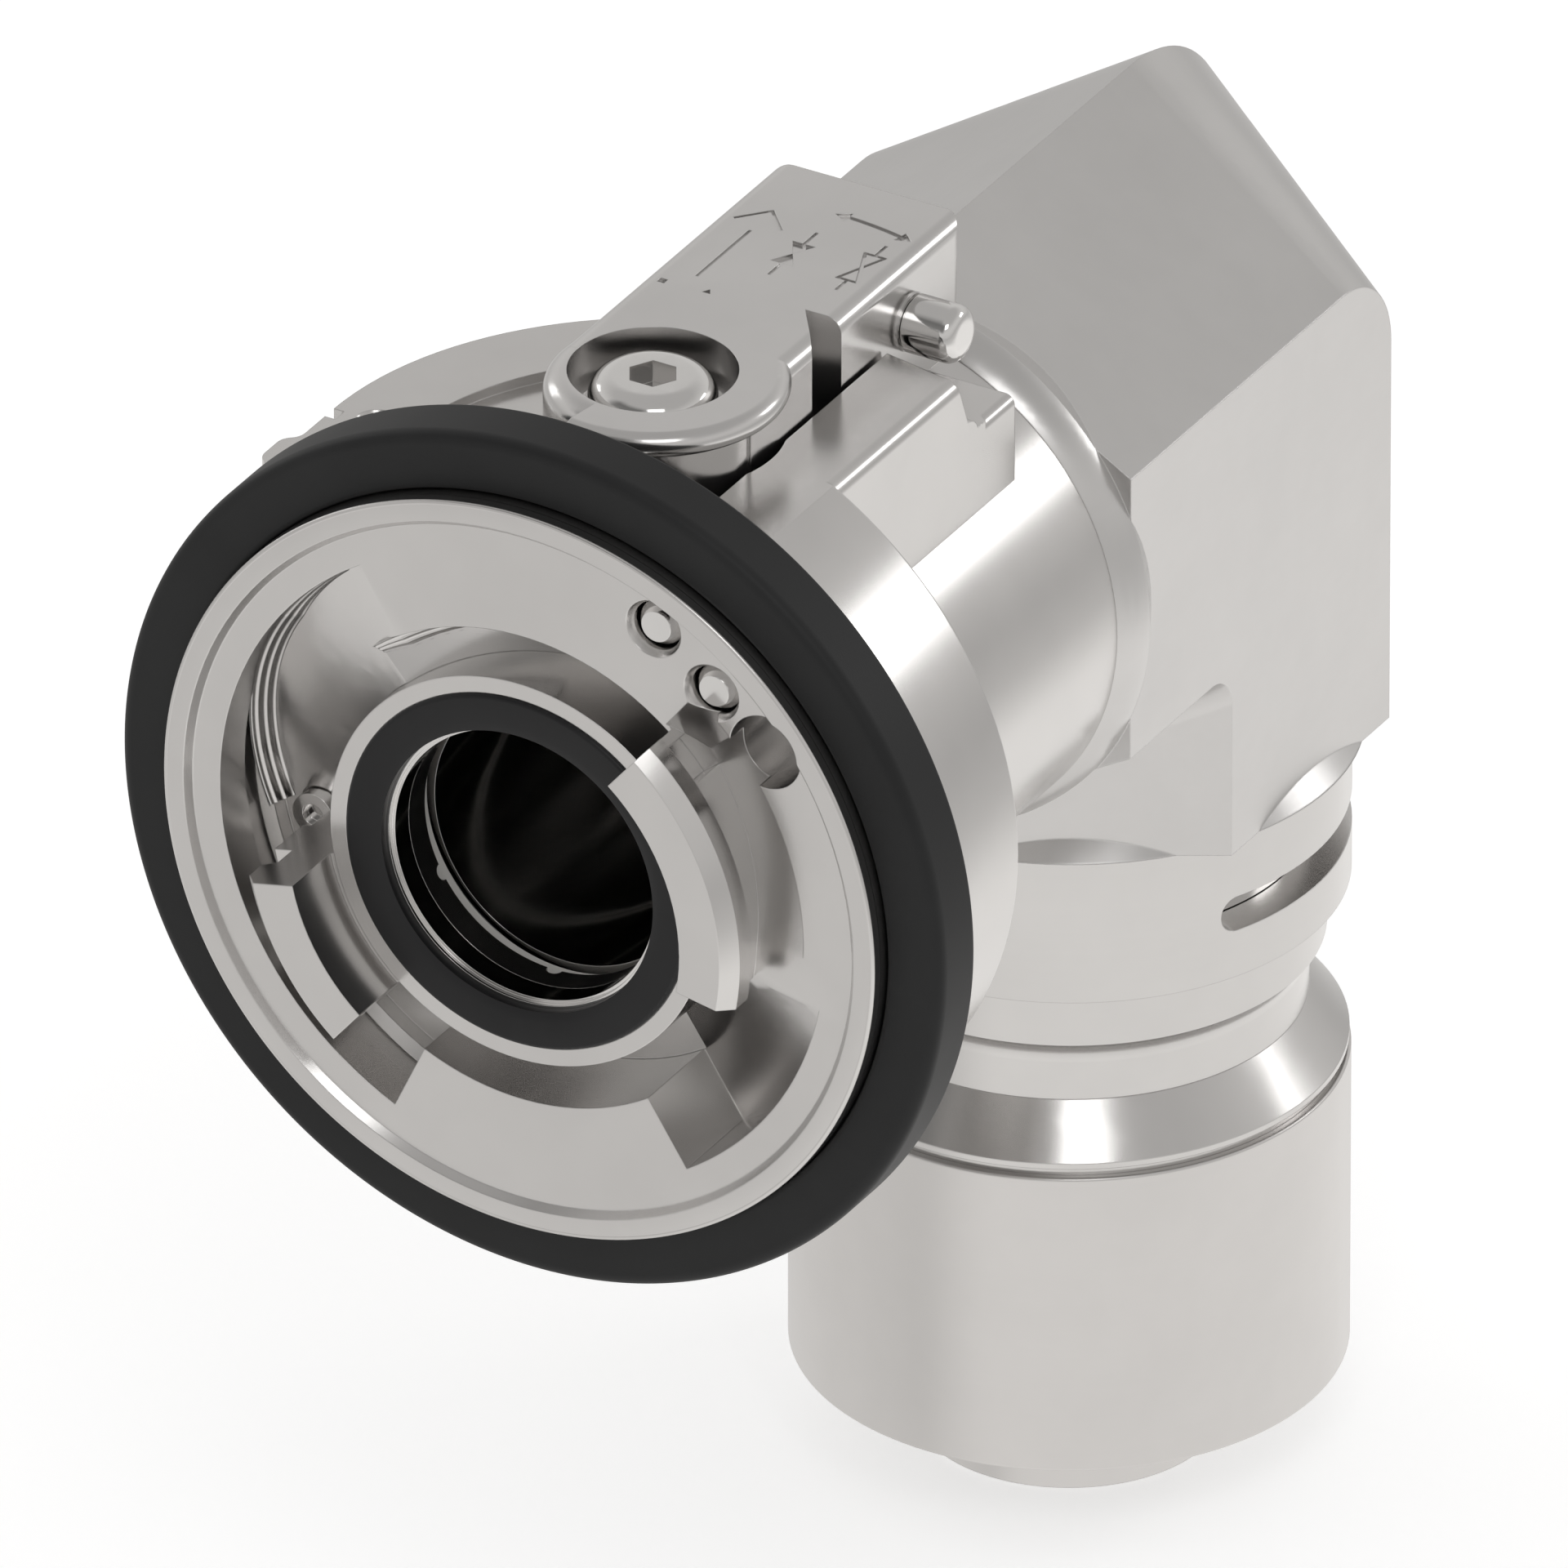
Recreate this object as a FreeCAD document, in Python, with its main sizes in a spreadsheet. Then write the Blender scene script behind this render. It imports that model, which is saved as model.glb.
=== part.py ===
import FreeCAD, Part
import math
import os
import re
import Sketcher

# Millimetres. Y runs back along the flow from the front of the bumper ring, Z is up.
# Face angles run from +X towards +Z, as seen from the front.
sizes = {
    # flow passage
    "bore_r": 16.1,
    # bumper ring and rim
    "bumper_r": 50.8,
    "bumper_wide": 7.4,
    "bumper_round": 1.5,
    "bumper_thick": 6.8,
    "rim_front": -2.5,
    "rim_step": 0.7,
    "rim_round": 0.4,
    # coupling face
    "rim_wide": 3.2,
    "face_y": -1.64,
    "ring_back": 12.4,
    "spigot_step": 1.4,
    # claws
    "claw_in": 24.2,
    "claw_flat": 29.2,
    "claw_out": 30.7,
    "claw_root": 29.1,
    "claw_front": -9.8,
    "claw_slope": 1.75,
    "lip_thick": 2.45,
    "lip_under": 1.0,
    "right_claw_at": 50.4,
    "right_claw_sweep": 60.8,
    "left_claw_at": 230.4,
    "left_claw_sweep": 38.4,
    "claw_lead_start": 2.5,
    "claw_lead_sweep": 9.5,
    "claw_lead_deep": 2.6,
    # ramp pockets and slots
    "pocket_margin": 3.4,
    "pocket_deep": 12.2,
    "left_ramp_at": 122,
    "left_ramp_sweep": 70,
    "right_ramp_at": 349.6,
    "right_ramp_sweep": 46.6,
    "notch_end": 245,
    "trench_gap": 0.6,
    "slot_r": 28.6,
    "upper_slot_at": 141,
    "upper_slot_sweep": 91,
    "lower_slot_at": 304,
    "shelf_step": 2.6,
    "shelf_deep": 3.0,
    "shelf_at": -2,
    "shelf_turn": 42,
    "shelf_end": 52,
    "undercut_deep": 1.2,
    "undercut_near": 5.2,
    "undercut_wide": 5.0,
    # interlock pins in the face
    "pin_r": 2.7,
    "pin_tip_r": 1.8,
    "pin_tip_cone": 1.2,
    "pin_set": 0.5,
    "pin_gap": 0.2,
    "pin_mouth_r": 3.4,
    "pin_mouth_deep": 0.9,
    "pin_guide": 9.3,
    "pin_collar_r": 3.6,
    "pin_collar_wide": 1.5,
    "pin_cavity_r": 3.8,
    "pin_cavity_end": 24.0,
    "pin_tail_r": 2.0,
    "pin_tail": 4.8,
    "upper_pin_inset": 2.9,
    "upper_pin_angle": 64.4,
    "lower_pin_inset": 4.0,
    "lower_pin_angle": 50.3,
    "key_hole_r": 4.35,
    "key_hole_inset": 2.95,
    "key_hole_angle": 37.3,
    "key_hole_deep": 9.0,
    "pin_wire": 0.7,
    "pin_coil_r": 2.85,
    "pin_coils": 6,
    # screws that lock the face
    "lock_screw_r": 1.5,
    "lock_screw_head_r": 2.5,
    "lock_screw_head": 2.0,
    "lock_screw_gap": 0.15,
    "lock_screw_end": 20.0,
    "lock_screw_seat": 10.4,
    "lock_screw_inset": 4.7,
    "first_screw_angle": 193.5,
    "second_screw_angle": 214,
    # nose
    "nose_r": 23.2,
    "nose_front": -2.46,
    "nose_back": 12.0,
    "seal_out": 21.2,
    "seal_in": 16.8,
    "seal_proud": 0.45,
    "seal_seat": 2.0,
    "seal_round": 0.5,
    "sleeve_front": -1.6,
    "sleeve_step": 0.35,
    "seat_shelf": 5.4,
    "bleed_r": 0.9,
    "bleed_deep": 1.4,
    # ball valve
    "pivot_y": 26.5,
    "ball_r": 24.9,
    "ball_gap": 0.3,
    "ball_flat": 24.5,
    "seat_in": 17.2,
    "seat_out": 20.6,
    "slot_half": 3.7,
    "slot_long": 8.2,
    "slot_floor": 20.6,
    # body
    "flange_proud": 0.7,
    "flange_back": 27.6,
    "flange_round": 0.5,
    "tube_r": 30.65,
    "tube_back": 73.2,
    "thread_r": 24.0,
    "thread_back": 91.8,
    "deck_r": 39.6,
    "deck_top": 31.4,
    "deck_low": 25.7,
    "deck_side": 22.3,
    "tab_proud": 1.6,
    "tab_round": 2.2,
    "tab_bulge": 17.2,
    "tab_curve": 2.0,
    "notch_front": 24.6,
    "notch_side": 1.3,
    "recess_r": 30.2,
    "recess_floor": 30.15,
    "block_side": 12.5,
    "block_top": 39.0,
    "block_back_left": 55.2,
    "block_back_right": 52.9,
    "block_foot_left": 57.2,
    "block_foot_right": 55.8,
    "block_end": 65.5,
    "block_round": 1.6,
    "block_valley": 1.6,
    "lug_round": 1.2,
    "boss_gap": 1.0,
    "boss_shift": 2.5,
    "detent_reach": 34.2,
    "detent_r": 2.5,
    "detent_deep": 1.5,
    "detent_low_r": 1.2,
    # stem
    "stem_r": 8.0,
    "stem_gap": 0.08,
    "shoulder_r": 10.0,
    "shoulder_low": 25.2,
    "shoulder_thick": 1.0,
    "stem_seal_thick": 0.9,
    "square_half": 5.6,
    "square_gap": 0.05,
    "square_low": 31.2,
    "square_top": 38.4,
    # lever
    "lever_top": 47.5,
    "lever_low": 32.0,
    "boss_flat": 13.35,
    "boss_lip": 1.5,
    "boss_waist": 11.8,
    "boss_foot_r": 12.2,
    "boss_low": 30.6,
    "cheek_at": 135,
    "cheek_sweep": 125,
    "lever_left": 11.4,
    "lever_right": 12.1,
    "lever_end": 72.5,
    "lever_edge": 1.9,
    "cheek_edge": 2.4,
    "lever_corner": 2.4,
    "counter_r": 9.25,
    "counter_floor": 41.6,
    "scoop_deep": 4.5,
    "scoop_back": 45.9,
    "scoop_front": 39.6,
    "scoop_round": 0.8,
    # lever screw, M8 button head
    "screw_r": 4.0,
    "screw_hole_gap": 0.3,
    "washer_r": 8.2,
    "washer_thick": 1.0,
    "head_r": 7.03,
    "head_high": 4.4,
    "head_round": 2.7,
    "socket_flats": 5.0,
    "socket_deep": 2.6,
    "screw_end": 27.0,
    # cross knob and lock pin
    "knob_z": 40.0,
    "knob_r": 3.3,
    "knob_near": 12.8,
    "knob_far": 18.8,
    "knob_round": 1.5,
    "knob_neck": 0.4,
    "knob_neck_r": 2.8,
    "knob_sleeve": 0.25,
    "knob_stem_r": 1.5,
    "knob_stem_gap": 0.08,
    "knob_foot": -8.9,
    "knob_foot_wide": 0.9,
    "knob_foot_r": 2.6,
    "spring_room_r": 2.8,
    "spring_room_far": -3.4,
    "spring_room_near": -9.4,
    "knob_wire": 0.5,
    "knob_coil_r": 2.2,
    "knob_coils": 3,
    "lock_pin_r": 2.4,
    "lock_pin_gap": 0.08,
    "lock_pin_tip": 31.7,
    "lock_pin_tip_r": 0.9,
    "lock_pin_cone": 1.5,
    "lock_pin_top": 44.6,
    "lock_pin_roof": 45.3,
    "lock_drop": 1.5,
    "cross_slack": 0.15,
    # elbow, from 60 mm hexagonal bar
    "across_flats": 60.0,
    "elbow_y": 116.8,
    "elbow_front": 39.5,
    "elbow_foot": 40.5,
    "outer_bend_side": 10.7,
    "outer_bend_mid": 22.0,
    "inner_bend_side": 4.4,
    "inner_bend_mid": 0.6,
    "front_collar_r": 32.4,
    "front_collar_long": 4.4,
    "front_fillet": 5.7,
    "foot_collar_r": 32.06,
    "foot_collar_long": 2.15,
    "leg_r": 30.65,
    "leg_end": 58.6,
    "socket_r": 24.0,
    "gasket_thick": 2.0,
    "window_top": 48.6,
    "window_high": 4.2,
    "window_at": -24,
    "window_sweep": 100,
    "ring_room_r": 26.5,
    # swivel
    "swivel_gap": 0.1,
    "nipple_top": 41.0,
    "nipple_groove_r": 22.4,
    "split_ring_in": 22.6,
    "split_ring_gap": 0.1,
    "split_opening": 14,
    "lip_seal_top": 43.6,
    "lip_seal_high": 3.0,
    "seal_groove_r": 21.4,
    "wiper_top": 55.0,
    "wiper_high": 2.2,
    "neck_collar_r": 28.0,
    "neck_collar_top": 58.9,
    "neck_collar_end": 65.2,
    "neck_r": 26.1,
    "neck_end": 73.35,
    "neck_fillet": 1.0,
    "joint_r": 20.0,
    "joint_end": 96.0,
    "cone_inset": 0.2,
    "cone_end": 78.9,
    "cone_lip": 79.6,
    "joint_groove": 0.9,
    "barrel_top": 80.7,
    "barrel_r": 30.7,
    "barrel_end": 117.6,
    "barrel_edge": 0.3,
    "barrel_seal_high": 2.0,
    "pipe_r": 16.85,
    "pipe_seat_r": 16.2,
    "pipe_wall": 2.6,
    "pipe_end_z": 127.8,
}

doc = FreeCAD.newDocument("QuickCoupling")
sheet = doc.addObject("Spreadsheet::Sheet", "Dims")
for row, (alias, value) in enumerate(sizes.items(), start=1):
    sheet.set("A%d" % row, alias)
    sheet.set("B%d" % row, str(value))
    sheet.setAlias("B%d" % row, alias)
sums = doc.addObject("Spreadsheet::Sheet", "Sums")
doc.recompute()

pieces = []


def bound(formula):
    """A formula of sheet aliases, as an object outside the sheet writes it."""
    return re.sub(r"\b([a-z]+(?:_[a-z0-9]+)+)\b", r"Dims.\1", formula)


def num(formula):
    """The value of a formula of sheet aliases."""
    sums.set("A1", "=" + bound(formula))
    sums.recompute()
    return float(sums.get("A1"))


def vector(*formulas):
    return FreeCAD.Vector(*[num(formula) for formula in formulas])


def newBody(name):
    body = doc.addObject("PartDesign::Body", name)
    body.Label = name
    pieces.append(body)
    return body


def plane(body, role):
    return next(item for item in body.Origin.OriginFeatures if item.Role == role)


def sketchOn(body, name, role, turn=0, lift=None):
    """A sketch on one of the body's own planes, turned about its upright axis or lifted off it."""
    sketch = body.newObject("Sketcher::SketchObject", name)
    sketch.AttachmentSupport = (plane(body, role), "")
    sketch.MapMode = "FlatFace"
    spin = FreeCAD.Rotation(FreeCAD.Vector(0, 1, 0), turn)
    sketch.AttachmentOffset = FreeCAD.Placement(FreeCAD.Vector(), spin)
    if lift:
        sketch.setExpression("AttachmentOffset.Base.z", bound(lift))
    return sketch


def outline(sketch, corners):
    """A closed outline. A third entry starts an arc of that radius, negative if it bends left."""
    points = [vector(corner[0], corner[1], "0") for corner in corners]
    ends = []
    for index, corner in enumerate(corners):
        here = points[index]
        there = points[(index + 1) % len(points)]
        if len(corner) == 2:
            sketch.addGeometry(Part.LineSegment(here, there), False)
            ends.append((1, 2))
            continue
        radius = num(corner[2])
        half = (there - here) * 0.5
        side = FreeCAD.Vector(-half.y, half.x, 0).normalize()
        rise = abs(radius) - math.sqrt(radius * radius - half.Length ** 2)
        middle = here + half + side * math.copysign(rise, radius)
        sketch.addGeometry(Part.Arc(here, middle, there), False)
        ends.append((2, 1) if radius > 0 else (1, 2))
    for index, corner in enumerate(corners):
        following = (index + 1) % len(corners)
        joint = (index, ends[index][1], following, ends[following][0])
        sketch.addConstraint(Sketcher.Constraint("Coincident", *joint))
        where = (("DistanceX", corner[0], points[index].x), ("DistanceY", corner[1], points[index].y))
        for kind, formula, value in where:
            place = sketch.addConstraint(Sketcher.Constraint(kind, -1, 1, index, ends[index][0], value))
            sketch.setExpression("Constraints[%d]" % place, bound(formula))
        if len(corner) == 3:
            place = sketch.addConstraint(Sketcher.Constraint("Radius", index, abs(num(corner[2]))))
            sketch.setExpression("Constraints[%d]" % place, bound("abs(%s)" % corner[2]))
    return sketch


def revolve(body, name, kind, role, corners, axis="V_Axis", sweep=360, turn=0):
    """A turned feature, whole or part of a turn."""
    sketch = outline(sketchOn(body, name + "_outline", role, turn), corners)
    feature = body.newObject("PartDesign::" + kind, name)
    feature.Profile = sketch
    feature.ReferenceAxis = (sketch, [axis])
    feature.Angle = sweep
    sketch.Visibility = False
    return feature


def turnedY(name, corners):
    """A piece turned about Y: corners are radius and place along Y."""
    body = newBody(name)
    revolve(body, name + "_turned", "Revolution", "XY_Plane", corners)
    return body


def turnedZ(name, corners, y="0"):
    """A piece turned about an upright axis at y: corners are radius and height."""
    body = newBody(name)
    revolve(body, name + "_turned", "Revolution", "XZ_Plane", corners)
    body.setExpression("Placement.Base.y", bound(y))
    return body


def faceSector(body, name, kind, at, sweep, corners):
    """A turned feature that runs down in face angle from at through sweep."""
    return revolve(body, name, kind, "XY_Plane", corners, sweep=num(sweep), turn=-num(at))


def ramp(body, name, at, sweep, deep, inner, outer, rising):
    """A helical cut into the face: flush at one end, deep at the other. Rising follows the face angle up."""
    sketch = sketchOn(body, name + "_outline", "XY_Plane", -num(at))
    far = "face_y - 1.5 * (%s) - 2" % deep
    outline(sketch, [(inner, far), (outer, far), (outer, "face_y"), (inner, "face_y")])
    cut = body.newObject("PartDesign::SubtractiveHelix", name)
    cut.Profile = sketch
    cut.ReferenceAxis = (sketch, ["V_Axis"])
    cut.Mode = 0
    cut.setExpression("Pitch", bound("(%s) * 360 / (%s)" % (deep, sweep)))
    cut.setExpression("Height", bound(deep))
    cut.LeftHanded = rising
    sketch.Visibility = False
    return cut


def pushed(body, name, kind, corners, low, length, role="XY_Plane"):
    """A pad or pocket from low, up on the XY plane and back along Y on the XZ plane."""
    lift = low if role == "XY_Plane" else "-(%s)" % low
    sketch = outline(sketchOn(body, name + "_outline", role, lift=lift), corners)
    feature = body.newObject("PartDesign::" + kind, name)
    feature.Profile = sketch
    feature.Reversed = (kind == "Pocket") != (role == "XZ_Plane")
    feature.setExpression("Length", bound(length))
    sketch.Visibility = False
    return feature


def place(feature, x, y, z, axis=None, angle=0):
    """Sets a primitive down, its place bound to the sheet."""
    spin = FreeCAD.Rotation(FreeCAD.Vector(*axis), angle) if axis else FreeCAD.Rotation()
    feature.Placement = FreeCAD.Placement(vector(x, y, z), spin)
    for letter, formula in zip("xyz", (x, y, z)):
        feature.setExpression("Placement.Base." + letter, bound(formula))
    return feature


def boxed(body, name, kind, low, high):
    """A block from one corner to the other."""
    feature = body.newObject("PartDesign::%sBox" % kind, name)
    for side, letter in enumerate(("Length", "Width", "Height")):
        feature.setExpression(letter, bound("(%s) - (%s)" % (high[side], low[side])))
    return place(feature, *low)


def rod(body, name, kind, radius, length, x, y, z, axis=None, angle=0):
    """A round feature that stands on (x, y, z)."""
    feature = body.newObject("PartDesign::%sCylinder" % kind, name)
    feature.setExpression("Radius", bound(radius))
    feature.setExpression("Height", bound(length))
    return place(feature, x, y, z, axis, angle)


def taper(body, name, kind, low_radius, high_radius, length, x, y, z, axis=None, angle=0):
    feature = body.newObject("PartDesign::%sCone" % kind, name)
    feature.setExpression("Radius1", bound(low_radius))
    feature.setExpression("Radius2", bound(high_radius))
    feature.setExpression("Height", bound(length))
    return place(feature, x, y, z, axis, angle)


def rounded(body, name, radius, chosen):
    """Rounds the edges that the test picks on the body as it stands."""
    doc.recompute()
    last = body.Tip
    names = ["Edge%d" % (number + 1) for number, edge in enumerate(last.Shape.Edges) if chosen(edge)]
    if not names:
        raise ValueError("no edge for " + name)
    fillet = body.newObject("PartDesign::Fillet", name)
    fillet.Base = (last, names)
    fillet.setExpression("Radius", bound(radius))
    return fillet


def ringEdge(radius, along, letter="y"):
    """Picks the circle of that radius at that place along an axis of the body."""
    wanted = num(radius)
    spot = num(along)

    def chosen(edge):
        if not hasattr(edge.Curve, "Radius"):
            return False
        centre = getattr(edge.Curve.Center, letter)
        return abs(edge.Curve.Radius - wanted) < 0.01 and abs(centre - spot) < 0.01
    return chosen


def coil(name, coils, coil_radius, wire, start, end):
    """A square-wire spring wound about the body's own Y axis, from start to end."""
    body = newBody(name)
    inner = "(%s) - (%s) / 2" % (coil_radius, wire)
    outer = "(%s) + (%s) / 2" % (coil_radius, wire)
    lap = "(%s) + (%s)" % (start, wire)
    sketch = outline(sketchOn(body, name + "_wire", "XY_Plane"), [
        (inner, start), (outer, start), (outer, lap), (inner, lap)])
    winding = body.newObject("PartDesign::AdditiveHelix", name + "_winding")
    winding.Profile = sketch
    winding.ReferenceAxis = (sketch, ["V_Axis"])
    winding.Mode = 0
    height = "(%s) - (%s) - (%s)" % (end, start, wire)
    winding.setExpression("Height", bound(height))
    winding.setExpression("Pitch", bound("(%s) / (%s)" % (height, coils)))
    sketch.Visibility = False
    return body


along_y = ((1, 0, 0), -90)
along_x = ((0, 1, 0), 90)


# Radii that step in from the bumper ring
rim = "bumper_r - bumper_thick"
face = rim + " - rim_wide"
pocket = face + " - pocket_margin"
spigot = rim + " - spigot_step"
flange = rim + " + flange_proud"


def faceSpot(inset, angle):
    """A place on the face, in from the rim's inner edge."""
    reach = "(%s - (%s))" % (face, inset)
    return reach + " * cos(%s)" % angle, reach + " * sin(%s)" % angle


# Claw ring: the face, its ramp pockets, slots, claws and pin holes.
ring = turnedY("claw_ring", [
    ("nose_r", "face_y"),
    (face, "face_y"),
    (face + " + rim_step", "rim_front"),
    (rim, "rim_front"),
    (rim, "bumper_wide"),
    (spigot, "bumper_wide"),
    (spigot, "ring_back"),
    ("nose_r", "ring_back"),
])
rounded(ring, "rim_edge", "rim_round", ringEdge(rim, "rim_front"))
hub = "nose_r - 0.2"
floor = "face_y + pocket_deep"
ahead = "rim_front - 2"
ramp(ring, "left_ramp", "left_ramp_at", "left_ramp_sweep", "pocket_deep", hub, pocket, True)
ramp(ring, "right_ramp", "right_ramp_at", "right_ramp_sweep", "pocket_deep", hub, pocket, False)
ramp(ring, "upper_slot", "upper_slot_at", "upper_slot_sweep", "pocket_deep", hub, "slot_r", False)
ramp(ring, "shelf", "shelf_at", "shelf_turn - shelf_at", "shelf_deep", "claw_root", pocket + " - shelf_step", True)
ramp(ring, "shelf_lead", "shelf_end", "shelf_end - shelf_turn", "shelf_deep", "claw_root", pocket + " - shelf_step", False)
faceSector(ring, "lower_slot", "Groove", "lower_slot_at", "lower_slot_at - left_claw_at", [
    (hub, ahead), ("slot_r", ahead), ("slot_r", floor), (hub, floor)])
faceSector(ring, "lower_notch", "Groove", "notch_end", "notch_end - left_claw_at", [
    (hub, ahead), (pocket, ahead), (pocket, floor), (hub, floor)])
faceSector(ring, "trench", "Groove", "left_claw_at", "left_claw_sweep", [
    ("claw_out + trench_gap", ahead),
    (pocket, ahead),
    (pocket, floor),
    ("claw_out + trench_gap", floor)])
undercut_from = "face_y + undercut_near"
undercut_to = "face_y + undercut_near + undercut_wide"
faceSector(ring, "undercut", "Groove", "notch_end", "notch_end - left_ramp_at", [
    (pocket + " - 0.1", undercut_from),
    (pocket + " + undercut_deep", undercut_from + " + 1"),
    (pocket + " + undercut_deep", undercut_to + " - 1"),
    (pocket + " - 0.1", undercut_to)])
lip_back = "claw_front + claw_slope + lip_thick"
for side in ("right", "left"):
    faceSector(ring, side + "_claw", "Revolution", side + "_claw_at", side + "_claw_sweep", [
        ("claw_in", "ring_back - 2"),
        ("claw_in", "claw_front"),
        ("claw_flat", "claw_front"),
        ("claw_out", "claw_front + claw_slope"),
        ("claw_out", lip_back),
        ("claw_root", lip_back + " + lip_under"),
        ("claw_root", "ring_back - 2")])
faceSector(ring, "claw_lead", "Groove", "right_claw_at - claw_lead_start", "claw_lead_sweep", [
    ("claw_root - claw_lead_deep", lip_back + " + lip_under"),
    ("claw_root + 0.1", lip_back + " + lip_under"),
    ("claw_root + 0.1", "face_y + shelf_deep"),
    ("claw_root - claw_lead_deep", "face_y + shelf_deep")])
for which in ("upper", "lower"):
    x, z = faceSpot("%s_pin_inset" % which, "%s_pin_angle" % which)
    taper(ring, which + "_pin_mouth", "Subtractive", "pin_mouth_r", "pin_r + pin_gap", "pin_mouth_deep",
          x, "face_y", z, *along_y)
    rod(ring, which + "_pin_guide", "Subtractive", "pin_r + pin_gap", "ring_back - face_y",
        x, "face_y", z, *along_y)
    guide_end = "face_y + pin_mouth_deep + pin_guide"
    rod(ring, which + "_pin_room", "Subtractive", "pin_cavity_r", "ring_back - (%s)" % guide_end,
        x, guide_end, z, *along_y)
x, z = faceSpot("key_hole_inset", "key_hole_angle")
rod(ring, "key_hole", "Subtractive", "key_hole_r", "key_hole_deep + 2", x, "face_y - 2", z, *along_y)
for which in ("first", "second"):
    x, z = faceSpot("pocket_margin + lock_screw_inset", "%s_screw_angle" % which)
    rod(ring, which + "_screw_seat", "Subtractive", "lock_screw_head_r + lock_screw_gap", "6",
        x, "lock_screw_seat - 6", z, *along_y)
    rod(ring, which + "_screw_hole", "Subtractive", "lock_screw_r + lock_screw_gap", "ring_back",
        x, "0.5", z, *along_y)

# Bumper ring
bumper = turnedY("bumper_ring", [
    (rim, "0"), ("bumper_r", "0"), ("bumper_r", "bumper_wide"), (rim, "bumper_wide")])
rounded(bumper, "bumper_front", "bumper_round", ringEdge("bumper_r", "0"))
rounded(bumper, "bumper_back", "bumper_round / 3", ringEdge("bumper_r", "bumper_wide"))
rounded(bumper, "bumper_mouth", "bumper_round / 2", ringEdge(rim, "0"))

# Nose, its seal and sleeve
nose = turnedY("nose_tube", [
    ("seal_out", "nose_front"),
    ("nose_r", "nose_front"),
    ("nose_r", "nose_back"),
    ("seat_out", "nose_back"),
    ("seat_out", "seat_shelf"),
    ("bore_r", "seat_shelf"),
    ("bore_r", "seal_seat"),
    ("seal_out", "seal_seat")])
for angle in range(30, 390, 60):
    rod(nose, "bleed_%d" % angle, "Subtractive", "bleed_r", "bleed_deep + 1",
        "(bore_r - 1) * cos(%d)" % angle, "seat_shelf", "(bore_r - 1) * sin(%d)" % angle, (0, 1, 0), 90 - angle)
seal = turnedY("nose_seal", [
    ("seal_in", "nose_front - seal_proud + 0.3"),
    ("seal_in + 1.2", "nose_front - seal_proud"),
    ("seal_out", "nose_front - seal_proud"),
    ("seal_out", "seal_seat"),
    ("seal_in", "seal_seat")])
rounded(seal, "seal_edge", "seal_round", ringEdge("seal_out", "nose_front - seal_proud"))
turnedY("nose_sleeve", [
    ("bore_r", "sleeve_front + 2 * sleeve_step"),
    ("bore_r + sleeve_step", "sleeve_front + 2 * sleeve_step"),
    ("bore_r + sleeve_step", "sleeve_front"),
    ("seal_in", "sleeve_front"),
    ("seal_in", "seal_seat"),
    ("bore_r", "seal_seat")])

# Screws that lock the claw ring to the body, one node
screws = newBody("face_screws")
for which in ("first", "second"):
    x, z = faceSpot("pocket_margin + lock_screw_inset", "%s_screw_angle" % which)
    rod(screws, which + "_head", "Additive", "lock_screw_head_r", "lock_screw_head",
        x, "lock_screw_seat - lock_screw_head", z, *along_y)
    rod(screws, which + "_shank", "Additive", "lock_screw_r", "lock_screw_end - lock_screw_seat",
        x, "lock_screw_seat", z, *along_y)
    rod(screws, which + "_socket", "Subtractive", "lock_screw_head_r / 2", "lock_screw_head / 2",
        x, "lock_screw_seat - lock_screw_head", z, *along_y)

# Interlock pins, each sprung forwards against its guide
tip = "face_y + pin_set"
collar = "face_y + pin_mouth_deep + pin_guide + 0.1"
for which in ("upper", "lower"):
    x, z = faceSpot("%s_pin_inset" % which, "%s_pin_angle" % which)
    pin = turnedY("interlock_pin_" + which, [
        ("0", tip),
        ("pin_tip_r", tip),
        ("pin_r", tip + " + pin_tip_cone"),
        ("pin_r", collar),
        ("pin_collar_r", collar),
        ("pin_collar_r", collar + " + pin_collar_wide"),
        ("pin_tail_r", collar + " + pin_collar_wide"),
        ("pin_tail_r", collar + " + pin_collar_wide + pin_tail"),
        ("0", collar + " + pin_collar_wide + pin_tail")])
    place(pin, x, "0", z)
    spring = coil("interlock_spring_" + which, "pin_coils", "pin_coil_r", "pin_wire",
                  collar + " + pin_collar_wide", "pin_cavity_end")
    place(spring, x, "0", z)

# Valve body: stop block, flange, tube and quadrant deck
body = newBody("valve_body")


def stepOutline(name, x, back, foot):
    """What is cut off behind the stop block, in one upright plane."""
    return outline(sketchOn(body, name, "YZ_Plane", lift=x), [
        (back, "block_top"),
        (foot + " - 0.3 * block_valley", "deck_top + block_valley", "1.4 * block_valley"),
        (foot + " + block_valley", "deck_top"),
        ("block_end + 1", "deck_top"),
        ("block_end + 1", "block_top + 1"),
        (back, "block_top + 1")])


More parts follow.
